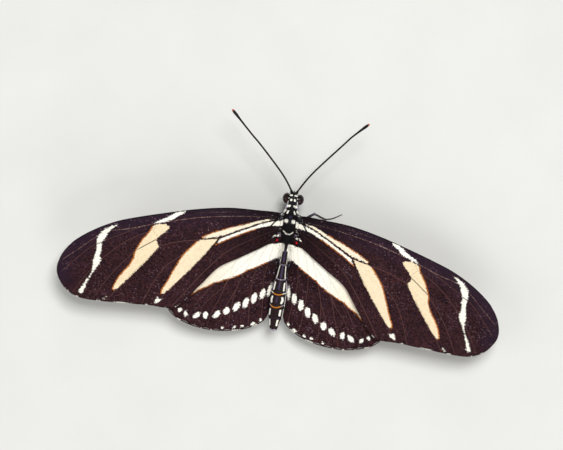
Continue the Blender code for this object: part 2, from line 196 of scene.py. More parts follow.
def inset(outline: np.ndarray, depth: np.ndarray | float) -> np.ndarray:
    """Draw a closed outline further in.

    Args:
        outline: The corners of the outline, in order.
        depth: How far each corner moves in.

    Returns:
        The corners of the inner outline.
    """
    step = np.roll(outline, -1, axis=0) - np.roll(outline, 1, axis=0)
    across = np.column_stack([-step[:, 1], step[:, 0]]) / np.linalg.norm(step, axis=1)[:, None]
    turn = np.sum(outline[:, 0] * np.roll(outline[:, 1], -1) - np.roll(outline[:, 0], -1) * outline[:, 1])
    return outline + across * np.sign(turn) * np.reshape(depth, (-1, 1))


# Shared modelling


def take(item: bpy.types.Object) -> None:
    """Make one object the only selected and the active one.

    Args:
        item: The object.
    """
    bpy.ops.object.select_all(action="DESELECT")
    item.select_set(True)
    bpy.context.view_layer.objects.active = item


@contextmanager
def editing(item: bpy.types.Object) -> Iterator[None]:
    """Work on one object in edit mode with all of its mesh selected.

    Args:
        item: The object.

    Returns:
        A context that goes back to object mode at its end.
    """
    take(item)
    bpy.ops.object.mode_set(mode="EDIT")
    bpy.ops.mesh.select_all(action="SELECT")
    yield
    bpy.ops.object.mode_set(mode="OBJECT")


def named(name: str) -> bpy.types.Object:
    """Name the object that an operator has just made, and its data.

    Args:
        name: The new name.

    Returns:
        The object.
    """
    item = bpy.context.view_layer.objects.active
    item.name = item.data.name = name
    return item


def start_from(name: str, operator: Callable[..., Any], **settings: Any) -> bpy.types.Object:
    """Start a piece from a primitive, a light or a camera.

    Args:
        name: The new object's name.
        operator: The operator that adds it.
        settings: The operator's settings.

    Returns:
        The new object.
    """
    bpy.ops.object.select_all(action="DESELECT")
    operator(**settings)
    return named(name)


def start_ball(name: str, segments: int, rings: int) -> tuple[bpy.types.Object, np.ndarray]:
    """Start a piece from a sphere of radius one, and give its vertices too.

    Args:
        name: The piece's name.
        segments: How many faces lie round the sphere.
        rings: How many lie from pole to pole.

    Returns:
        The object and the places of its vertices, one row each.
    """
    item = start_from(name, bpy.ops.mesh.primitive_uv_sphere_add, segments=segments, ring_count=rings,
                      radius=1.0)
    return item, vertex_places(item)


def place_data(name: str, data: bpy.types.ID) -> bpy.types.Object:
    """Put a mesh or curve into the scene as the active object.

    Args:
        name: The object's name.
        data: Its mesh or curve.

    Returns:
        The new object.
    """
    item = bpy.data.objects.new(name, data)
    bpy.context.scene.collection.objects.link(item)
    take(item)
    return item


def join(name: str, items: list[bpy.types.Object]) -> bpy.types.Object:
    """Join meshes into one object of the given name.

    Args:
        name: The joined object's name.
        items: The meshes.

    Returns:
        The joined object.
    """
    take(items[0])
    for item in items:
        item.select_set(True)
    if len(items) > 1:
        bpy.ops.object.join()
    return named(name)


def vertex_places(item: bpy.types.Object) -> np.ndarray:
    """Read the places of an object's vertices in metres, one row each.

    Args:
        item: The object.

    Returns:
        The places.
    """
    places = np.empty(len(item.data.vertices) * 3)
    item.data.vertices.foreach_get("co", places)
    return places.reshape(-1, 3)


def hinge_places(item: bpy.types.Object) -> np.ndarray:
    """Read the places of an object's vertices in the hinge frame, in millimetres."""
    return vertex_places(item) / MM - HINGE


def move_vertices(item: bpy.types.Object, places: np.ndarray) -> None:
    """Move every vertex of an object to a new place."""
    item.data.vertices.foreach_set("co", np.ascontiguousarray(places).ravel())
    item.data.update()


def paint(item: bpy.types.Object, marks: dict[str, np.ndarray | float]) -> None:
    """Store numbers at each vertex, for a material to read.

    Args:
        item: The object.
        marks: For each attribute one number for all vertices, or one for each.
    """
    for name, values in marks.items():
        layer = item.data.attributes.new(name, "FLOAT", "POINT")
        values = np.broadcast_to(np.asarray(values, dtype=np.float32), len(item.data.vertices))
        layer.data.foreach_set("value", np.ascontiguousarray(values))


def close_shell(item: bpy.types.Object, doubles: float = 0.002) -> None:
    """Merge vertices closer than some millimetres and turn all faces outwards.

    Args:
        item: The object.
        doubles: How close together merged vertices lie, in millimetres.
    """
    with editing(item):
        bpy.ops.mesh.remove_doubles(threshold=doubles * MM)
        bpy.ops.mesh.normals_make_consistent(inside=False)


def coat_piece(item: bpy.types.Object, finish: bpy.types.Material, marks: dict[str, np.ndarray | float],
               degrees: float = 50.0) -> bpy.types.Object:
    """Give a piece its marks and its finish and shade it smooth.

    Args:
        item: The piece.
        finish: Its material.
        marks: The attributes that the material reads.
        degrees: Edges sharper than this stay sharp.

    Returns:
        The same piece.
    """
    paint(item, marks)
    item.data.materials.append(finish)
    take(item)
    bpy.ops.object.shade_smooth_by_angle(angle=math.radians(degrees))
    return item


def draw_tube(name: str, line: np.ndarray, radii: np.ndarray, roundness: int = 1) -> bpy.types.Object:
    """Draw a round limb along a line, with its own radius at each point.

    Args:
        name: The object's name.
        line: Points in the hinge frame.
        radii: The radius at each point.
        roundness: The curve's bevel resolution.

    Returns:
        A closed mesh object.
    """
    curve = bpy.data.curves.new(name, "CURVE")
    curve.dimensions = "3D"
    curve.bevel_depth = MM
    curve.bevel_resolution = roundness
    curve.use_fill_caps = True
    spline = curve.splines.new("POLY")
    spline.points.add(len(line) - 1)
    for point, place, radius in zip(spline.points, to_model(line), radii):
        point.co = (*place, 1.0)
        point.radius = float(radius)
    place_data(name, curve)
    bpy.ops.object.convert(target="MESH")
    item = named(name)
    close_shell(item)
    return item


def hand_over(piece: bpy.types.Object, slot: str, *nodes: str) -> None:
    """Let a finished piece ride on the body and stand for its solids.

    Args:
        piece: The finished piece.
        slot: The record's material slot; not used.
        nodes: The solids that it stands for.
    """
    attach(piece, "root")
    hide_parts(*nodes)
    LOG.info("%s: %d faces, stands for %s", piece.name, len(piece.data.polygons), ", ".join(nodes))


# Locks of hair and single scales


@dataclass(frozen=True)
class LockPattern:
    """The one lock that every tuft, bristle and fringe scale is copied from: x across, y up, z along."""

    places: np.ndarray
    faces: tuple[tuple[int, ...], ...]

    @classmethod
    def model(cls, name: str, ring: float, swell: float, flatness: float) -> "LockPattern":
        """Model a lock as a three-sided cone that is bellied out at a ring.

        Args:
            name: The pattern's name.
            ring: The ring's share of the length.
            swell: Its width against the plain cone.
            flatness: The height of the lock against its width.

        Returns:
            The pattern, with its object removed.
        """
        item = start_from(name, bpy.ops.mesh.primitive_cone_add, vertices=3, radius1=0.5, radius2=0.0,
                          depth=1.0)
        with editing(item):
            bpy.ops.transform.translate(value=(0.0, 0.0, 0.5))
            bpy.ops.mesh.bisect(plane_co=(0.0, 0.0, ring), plane_no=(0.0, 0.0, 1.0))
        places = vertex_places(item)
        places[np.abs(places[:, 2] - ring) < 0.01, :2] *= swell
        places[:, 1] *= flatness
        move_vertices(item, places)
        with editing(item):
            bpy.ops.mesh.normals_make_consistent(inside=False)
        faces = tuple(tuple(face.vertices) for face in item.data.polygons)
        bpy.data.meshes.remove(item.data)
        return cls(places, faces)


@dataclass
class Locks:
    """Many locks on a surface: one row for each, in the hinge frame."""

    roots: np.ndarray
    ups: np.ndarray
    lies: np.ndarray
    lengths: np.ndarray
    widths: np.ndarray
    lifts: np.ndarray               # how steeply a lock leaves the surface
    unwrap: np.ndarray              # its place in the map for baking
    marks: dict[str, np.ndarray | float]
    bow: float = 0.35               # how far its tip bends back to the surface
    sink: float = 0.04
    PATCH: ClassVar[float] = 0.003  # size of a lock in the map for baking

    @staticmethod
    def hair_marks(count: int, random: np.random.Generator, pale: np.ndarray | float = OUTSIDE,
                   lilac: np.ndarray | float = OUTSIDE) -> dict[str, np.ndarray]:
        """Give plain dark hair its marks, with some of it pale or lilac.

        Args:
            count: How many locks.
            random: The source of their tones.
            pale: The depth inside a pale mark, for all or for each.
            lilac: The depth inside a lilac mark, for all or for each.

        Returns:
            The marks that the coat's finish reads.
        """
        depths = {"pale": pale, "lilac": lilac, **dict.fromkeys(("amber", "bloom", "red"), OUTSIDE)}
        return {name: np.broadcast_to(depth, count) for name, depth in depths.items()} | {
            "tone": random.uniform(0.1, 1.0, count)}

    def kept(self, chosen: np.ndarray) -> "Locks":
        """Keep only some of the locks.

        Args:
            chosen: Which of them stay.

        Returns:
            The locks that stay.
        """
        rows = {name: getattr(self, name)[chosen]
                for name in ("roots", "ups", "lies", "lengths", "widths", "lifts", "unwrap")}
        return replace(self, **rows, marks={name: values[chosen] for name, values in self.marks.items()})

    def grow(self, name: str, pattern: LockPattern, finish: bpy.types.Material,
             floor: float = 0.0) -> bpy.types.Object:
        """Copy the pattern to every root as one mesh, with its map for baking.

        Args:
            name: The piece's name.
            pattern: The lock to copy.
            finish: The piece's material.
            floor: The lowest height that a lock may reach.

        Returns:
            The joined piece.
        """
        count, corners = len(self.roots), len(pattern.places)
        across = np.cross(self.ups, self.lies)
        side, rise, along = pattern.places.T
        lengths = self.lengths[:, None, None]
        widths = self.widths[:, None, None]
        lift = self.lifts[:, None] * along - self.bow * along ** 2
        places = (self.roots[:, None, :] - self.ups[:, None, :] * self.sink
                  + across[:, None, :] * widths * side[None, :, None]
                  + self.lies[:, None, :] * lengths * along[None, :, None]
                  + self.ups[:, None, :] * (widths * rise[None, :, None] + lengths * lift[:, :, None]))
        places = places.reshape(-1, 3)
        places[:, 2] = np.maximum(places[:, 2], floor)
        faces = [tuple(start + corner for corner in face)
                 for start in range(0, count * corners, corners) for face in pattern.faces]
        mesh = bpy.data.meshes.new(name)
        mesh.from_pydata(to_model(places).tolist(), [], faces)
        item = place_data(name, mesh)
        paint(item, {mark: np.repeat(np.broadcast_to(values, count), corners)
                     for mark, values in self.marks.items()})
        spots = self.unwrap[:, None, :] + self.PATCH * np.stack([side, along - 0.5], axis=1)[None]
        order = np.empty(len(mesh.loops), dtype=int)
        mesh.loops.foreach_get("vertex_index", order)
        mesh.uv_layers.new(name="OFBake").data.foreach_set("uv", spots.reshape(-1, 2)[order].ravel())
        bpy.ops.object.shade_smooth()
        mesh.materials.append(finish)
        return item


# Finishes


def linear(code: str) -> tuple[float, float, float, float]:
    """Turn six hex digits of sRGB into red, green, blue and full alpha in linear light."""
    parts = [int(code[place:place + 2], 16) / 255 for place in (0, 2, 4)]
    return (*(part / 12.92 if part <= 0.04045 else ((part + 0.055) / 1.055) ** 2.4 for part in parts), 1.0)


def add_node(tree: bpy.types.NodeTree, kind: str, inputs: dict[str | int, Any] | None = None,
             **settings: Any) -> bpy.types.Node:
    """Add a shader node with its settings, and set or link its inputs.

    Args:
        tree: The material's node tree.
        kind: The node's type, less the word ShaderNode.
        inputs: For each input, by name or number, a value, a hex colour, an output of another node, or a
            node, which stands for its first output in use.
        settings: The node's properties.

    Returns:
        The new node.
    """
    made = tree.nodes.new(f"ShaderNode{kind}")
    for name, value in settings.items():
        setattr(made, name, value)
    for name, value in (inputs or {}).items():
        if isinstance(value, bpy.types.Node):
            value = next(socket for socket in value.outputs if socket.enabled)
        if isinstance(value, bpy.types.NodeSocket):
            tree.links.new(value, made.inputs[name])
        else:
            made.inputs[name].default_value = linear(value) if isinstance(value, str) else value
    return made


def layered(add: Adder, base: Any, *layers: tuple[Any, Any]) -> bpy.types.Node:
    """Lay colours over one another.

    Args:
        add: Adds a node to the material.
        base: The lowest colour or node.
        layers: How much of each next one shows, and its colour or node.

    Returns:
        The node of the topmost mix.
    """
    for share, colour in layers:
        base = add("Mix", {"Factor": share, "A": base, "B": colour}, data_type="RGBA")
    return base


@dataclass(frozen=True)
class Finish:
    """A material that is worked out from the marks at each vertex and the place on the model."""

    name: str
    MARKS: ClassVar[tuple[str, ...]] = ()

    def make(self) -> bpy.types.Material:
        """Build the material round the finish's own surface.

        Returns:
            The new material.
        """
        material = bpy.data.materials.new(self.name)
        material.use_nodes = True
        material.node_tree.nodes.clear()
        add = partial(add_node, material.node_tree)
        reads = {mark: add("Attribute", attribute_name=mark).outputs["Fac"] for mark in self.MARKS}
        add("OutputMaterial", {"Surface": self.surface(add, reads, add("TexCoord").outputs["Object"])})
        return material

    def surface(self, add: Adder, reads: Reads, place: bpy.types.NodeSocket) -> bpy.types.Node:
        """Add the finish's own nodes.

        Args:
            add: Adds a node to the material.
            reads: The marks at each vertex, by name.
            place: The place on the model.

        Returns:
            The shader node.
        """
        raise NotImplementedError


@dataclass(frozen=True)
class WingScales(Finish):
    """Overlapping powdery chitin scales on a dry membrane, as grown: matt, each scale a shade of its own.

    To the eye: velvety brown-black with a fine speckle, a painted purplish sheen along the front rim, cream
    bands whose edges break up scale by scale, and an amber thread where a band meets the dark.
    """

    name: str = "chitin_wing_scales_powdery"
    ground_rust: str = "482623"
    ground_violet: str = "33222e"
    # painted purplish sheen of the front rim
    costa_tint: str = "241a2b"
    fleck: str = "806570"
    ivory: str = "fdfaee"
    peach: str = "efd9b3"
    amber: str = "c2701f"
    underside: str = "6b5548"
    crimson: str = "bb1019"
    vein_black: str = "150b0c"
    vein_brown: str = "513532"
    # painted highlight in beads along the subcostal vein
    vein_bead: str = "a08a80"
    ink: str = "0c0507"
    scale_length: float = 0.19      # real ones are 0.15 by 0.08 mm, drawn coarser so that they show
    scale_width: float = 0.13
    MARKS: ClassVar[tuple[str, ...]] = ("pale", "rough", "warm", "amber", "ink", "ridge", "far", "under",
                                        "costa", "red")

    def surface(self, add: Adder, reads: Reads, place: bpy.types.NodeSocket) -> bpy.types.Node:
        """Add the nodes of ground, veins, bands, threads and spots.

        Args:
            add: Adds a node to the material.
            reads: The marks at each vertex, by name.
            place: The place on the model.

        Returns:
            The shader node.
        """
        rows = add("Mapping", {"Vector": place, "Scale": (1 / (self.scale_length * MM),
                                                          1 / (self.scale_width * MM), 0.0)})
        scales = add("TexVoronoi", {"Vector": rows, "Scale": 1.0, "Randomness": 0.85},
                     voronoi_dimensions="2D")
        chance = add("SeparateColor", {"Color": scales.outputs["Color"]}).outputs
        clouds = add("TexNoise", {"Vector": place, "Scale": 330.0, "Detail": 3.0, "Roughness": 0.6})
        drifts = add("TexNoise", {"Vector": place, "Scale": 140.0, "Detail": 1.0})
        drawn_out = add("Mapping", {"Vector": place, "Scale": (1500.0, 5200.0, 0.0)})
        streaks = add("TexNoise", {"Vector": drawn_out, "Scale": 1.0, "Detail": 2.0, "Roughness": 0.6})
        swing = add("MapRange", {"Value": streaks, "From Min": 0.3, "From Max": 0.7,
                                 "To Min": -1.0, "To Max": 1.0}, clamp=False)
        gathered = add("Math", {0: drifts, 1: 0.14, 2: chance["Blue"]}, operation="MULTIPLY_ADD")
        thread = add("Math", {0: swing, 1: 0.10, 2: reads["amber"]}, operation="MULTIPLY_ADD")

        ramps = {}
        for name, value, (low, high), (start, end) in (
                ("shift", chance["Red"], (0.0, 1.0), (-0.19, 0.03)),
                ("tone", chance["Green"], (0.0, 1.0), (0.10, 1.05)),
                ("cloud", clouds, (0.3, 0.75), (0.7, 1.25)),
                # the wing's ground grows darker towards the root
                ("darker_to_root", reads["far"], (0.0, 0.9), (0.32, 1.0)),
                ("sparkle", gathered, (1.045, 1.075), (0.0, 0.7)),
                ("off_costa", reads["costa"], (0.54, 0.60), (1.0, 0.0)),
                ("near_costa", reads["costa"], (0.32, 0.42), (0.0, 1.0)),
                # beads of painted highlight on the subcostal vein
                ("bead", chance["Red"], (0.60, 0.66), (0.0, 0.7)),
                ("chalk", chance["Green"], (0.0, 1.0), (0.80, 1.0)),
                ("on_vein", reads["ridge"], (0.0, 1.0), (1.0, 0.8)),
                ("rim", thread, (-0.02, 0.10), (0.0, 0.85)),
                ("line", reads["ink"], (-0.05, 0.03), (0.0, 0.95)),
                ("spot", reads["red"], (-0.04, 0.04), (0.0, 1.0))):
            ramps[name] = add("MapRange", {"Value": value, "From Min": low, "From Max": high,
                                           "To Min": start, "To Max": end})
        shade, browning, highlight_beads, powder, browned = (
            add("Math", {0: one, 1: other}, operation="MULTIPLY") for one, other in (
                (ramps["tone"], ramps["cloud"]), (reads["far"], ramps["off_costa"]),
                (ramps["bead"], ramps["near_costa"]), (ramps["chalk"], ramps["on_vein"]),
                (reads["under"], 0.6)))

        # each scale takes the colour of the place under it, so borders are ragged by a scale or so
        border = add("Math", {0: swing, 1: reads["rough"], 2: ramps["shift"]}, operation="MULTIPLY_ADD")
        edge = add("Math", {0: reads["pale"], 1: border}, operation="ADD")
        band = add("MapRange", {"Value": edge, "From Min": -0.03, "From Max": 0.03})

        ground = layered(add, self.ground_rust, (chance["Blue"], self.ground_violet))
        mottled = add("VectorMath", {0: ground, "Scale": shade}, operation="SCALE")
        # painted purplish sheen towards the front rim
        front = layered(add, mottled, (reads["costa"], self.costa_tint))
        rooted = add("VectorMath", {0: front, "Scale": ramps["darker_to_root"]}, operation="SCALE")
        # painted highlight in beads on the subcostal vein
        brown = layered(add, self.vein_brown, (highlight_beads, self.vein_bead))
        vein = layered(add, self.vein_black, (browning, brown))
        cream = layered(add, self.ivory, (reads["warm"], self.peach))
        creamy = add("VectorMath", {0: cream, "Scale": powder}, operation="SCALE")
        whole = layered(add, rooted, (ramps["sparkle"], self.fleck), (reads["ridge"], vein),
                        (browned, self.underside), (band, creamy), (ramps["rim"], self.amber),
                        (ramps["line"], self.ink), (ramps["spot"], self.crimson))
        relief = add("Bump", {"Strength": 0.35, "Distance": 0.03 * MM, "Height": scales.outputs["Distance"]})
        return add("BsdfPrincipled", {"Base Color": whole, "Roughness": 0.62, "IOR": 1.55,
                                      "Specular IOR Level": 0.04, "Normal": relief})


@dataclass(frozen=True)
class HairCoat(Finish):
    """Fine hair and flat scales over the horny body: soft, matt at the root, a little silky at the tip.

    To the eye: deep black fur with cream spots, thin amber rings, a cool bluish tone on the cheeks, and a
    painted bluish sheen on the thorax and down the back.
    """

    pelt: str = "070506"
    pelt_light: str = "221b1f"
    cream: str = "fffcf0"
    amber: str = "d98a24"
    lilac: str = "c6bdd2"
    # a cool bluish tone on the face, and painted bluish sheen on the thorax and the back
    bloom: str = "40375a"
    crimson: str = "b5121f"
    fibre: float = 0.05             # hair is 0.01 mm thick, drawn coarser so that it shows
    MARKS: ClassVar[tuple[str, ...]] = ("pale", "amber", "lilac", "bloom", "red", "tone")

    def surface(self, add: Adder, reads: Reads, place: bpy.types.NodeSocket) -> bpy.types.Node:
        """Add the nodes of the fur and the marks over it.

        Args:
            add: Adds a node to the material.
            reads: The marks at each vertex, by name.
            place: The place on the model.

        Returns:
            The shader node.
        """
        fineness = 1 / (self.fibre * MM)
        strands = add("Mapping", {"Vector": place, "Scale": (fineness, 0.2 * fineness, fineness)})
        grain = add("TexNoise", {"Vector": strands, "Scale": 1.0, "Detail": 2.0, "Roughness": 0.6})
        shade = add("Math", {0: grain, 1: reads["tone"]}, operation="MULTIPLY")
        # the bluish layer is a tone on the face and painted sheen on the thorax and the back
        marks = [(add("MapRange", {"Value": reads[mark], "From Min": -0.03, "From Max": 0.03,
                                   "To Max": share}), code)
                 for mark, code, share in (("bloom", self.bloom, 0.9), ("lilac", self.lilac, 0.85),
                                           ("pale", self.cream, 0.96), ("amber", self.amber, 0.95),
                                           ("red", self.crimson, 0.95))]
        fur = layered(add, self.pelt, (shade, self.pelt_light), *marks)
        relief = add("Bump", {"Strength": 0.5, "Distance": 0.03 * MM, "Height": grain})
        return add("BsdfPrincipled", {"Base Color": fur, "Roughness": 0.45, "IOR": 1.55,
                                      "Specular IOR Level": 0.14, "Normal": relief})


@dataclass(frozen=True)
class EyeLens(Finish):
    """The compound eye: thousands of tiny clear lenses over dark red-brown pigment, naturally glossy.

    To the eye: a dark dome with a soft highlight, fine facets, and darker patches that drift in the pigment.
    """

    name: str = "compound_eye_cuticle_glossy"
    pupil: str = "040203"
    pigment: str = "280b11"
    facet: float = 0.08             # a lens is 0.025 mm wide, drawn coarser so that it shows

    def surface(self, add: Adder, reads: Reads, place: bpy.types.NodeSocket) -> bpy.types.Node:
        """Add the nodes of pigment and facets.

        Args:
            add: Adds a node to the material.
            reads: The marks at each vertex, by name.
            place: The place on the model.

        Returns:
            The shader node.
        """
        facets = add("TexVoronoi", {"Vector": place, "Scale": 1 / (self.facet * MM), "Smoothness": 0.4,
                                    "Randomness": 0.25}, feature="SMOOTH_F1")
        patches = add("TexNoise", {"Vector": place, "Scale": 1100.0, "Detail": 2.0, "Roughness": 0.55})
        depth = add("MapRange", {"Value": patches, "From Min": 0.4, "From Max": 0.62})
        relief = add("Bump", {"Strength": 0.4, "Distance": 0.02 * MM, "Height": facets.outputs["Distance"]},
                     invert=True)
        return add("BsdfPrincipled", {"Base Color": layered(add, self.pupil, (depth, self.pigment)),
                                      "Roughness": 0.3, "IOR": 1.5, "Specular IOR Level": 0.18,
                                      "Coat Weight": 0.2, "Coat Roughness": 0.1, "Normal": relief})


@dataclass(frozen=True)
class Horn(Finish):
    """Hard brown-black chitin of the limbs, as grown: a satin horn with a dusting of paler scales.

    To the eye: dark satin limbs with a fine grain, greyed near the knees by pale scales and a painted
    highlight, glowing at a feeler's tip.
    """

    dark: str = "0d090a"
    light: str = "35282a"
    tip: str = "b8481c"
    # pale scales, and on the legs a painted highlight near the knee
    pale: str = "d9d2c8"
    roughness: float = 0.42
    gloss: float = 0.3
    grain: float = 0.07             # fine scales on the limb, drawn coarser so that they show
    MARKS: ClassVar[tuple[str, ...]] = ("glow", "pale")

    def surface(self, add: Adder, reads: Reads, place: bpy.types.NodeSocket) -> bpy.types.Node:
        """Add the nodes of horn, glow and dust.

        Args:
            add: Adds a node to the material.
            reads: The marks at each vertex, by name.
            place: The place on the model.

        Returns:
            The shader node.
        """
        specks = add("TexVoronoi", {"Vector": place, "Scale": 1 / (self.grain * MM), "Randomness": 0.9})
        chance = add("SeparateColor", {"Color": specks.outputs["Color"]}).outputs
        # pale scales, and on the legs a painted highlight that is strongest at the knee
        dust_and_highlight_level = add("Math", {0: reads["pale"], 1: chance["Green"]}, operation="ADD")
        dust_and_highlight = add("MapRange", {"Value": dust_and_highlight_level, "From Min": 1.0, "From Max": 1.1, "To Max": 0.8})
        whole = layered(add, self.dark, (chance["Red"], self.light), (reads["glow"], self.tip),
                        (dust_and_highlight, self.pale))
        relief = add("Bump", {"Strength": 0.4, "Distance": 0.012 * MM, "Height": specks.outputs["Distance"]})
        return add("BsdfPrincipled", {"Base Color": whole, "Roughness": self.roughness, "IOR": 1.55,
                                      "Specular IOR Level": self.gloss, "Normal": relief})


@dataclass(frozen=True)
class PaperSweep(Finish):
    """Matt off-white studio paper, rolled smooth: a plain pale ground with the faintest cloud of fibre."""

    name: str = "studio_paper_matt"
    light: str = "dcdcd8"
    shade: str = "d2d2ce"

    def surface(self, add: Adder, reads: Reads, place: bpy.types.NodeSocket) -> bpy.types.Node:
        """Add the nodes of the paper.

        Args:
            add: Adds a node to the material.
            reads: The marks at each vertex, by name.
            place: The place on the model.

        Returns:
            The shader node.
        """
        fibre = add("TexNoise", {"Vector": place, "Scale": 60.0, "Detail": 4.0})
        return add("BsdfPrincipled", {"Base Color": layered(add, self.light, (fibre, self.shade)),
                                      "Roughness": 0.9, "Specular IOR Level": 0.2})


# Wings


@dataclass(frozen=True)
class Mark:
    """One pale mark of a wing by its outline, with the stretch of the outline that has an amber edge."""

    outline: Line
    warmth: float
    amber: tuple[int, int] | None = None
    amber_width: float = 0.11
    rough: float = 0.09             # how far the streaks of its border reach
    warmer: Pair | None = None      # the x from and to which it turns from its warmth to peach


@dataclass(frozen=True)
class Spot:
    """A small oval mark: its middle, half length, half width and the turn of its length, in degrees."""

    x: float
    y: float
    half_length: float
    half_width: float
    turn: float
    POWER: ClassVar[float] = 2.2    # 2 is an oval, more is squarer

    def depth(self, points: np.ndarray) -> np.ndarray:
        """Measure how deep points in plan lie inside the spot, negative outside.

        Args:
            points: Points in plan, one row each.

        Returns:
            The depth of each.
        """
        angle = math.radians(self.turn)
        dx, dy = points[:, 0] - self.x, points[:, 1] - self.y
        along = (dx * math.cos(angle) + dy * math.sin(angle)) / self.half_length
        across = (-dx * math.sin(angle) + dy * math.cos(angle)) / self.half_width
        reach = (np.abs(along) ** self.POWER + np.abs(across) ** self.POWER) ** (1 / self.POWER)
        return (1.0 - reach) * self.half_width


@dataclass(frozen=True)
class WingPlan:
    """What both wings of a pair share: outline, veins and markings, in plan."""

    name: str
    root: Line
    edge: Line
    fringe_from: Pair                            # the stretch of the edge that carries the fringe
    fringe_to: Pair
    veins: Sequence[Line]
    marks: Sequence[Mark]
    length: float                                # over which the veins taper
    costa_to: Pair                               # where the rib of the front rim ends
    spots: Sequence[Spot] = ()
    strokes: Sequence[tuple[Line, float]] = ()   # dark lines across the pale marks, with half width
    hooks: Sequence[tuple[Line, float]] = ()     # thin white lines, with half width
    reds: Sequence[Spot] = ()
    layer: float = 0.0                           # how far it lies under the forewing
    droop: float = 0.0
    scallop: float = 0.0
    costa_width: float = 0.01                    # how far the painted purple sheen of the front rim reaches in
    dash_chance: float = 0.5                     # of white scales in the fringe, and the y where they start
    dash_from: float = 0.0


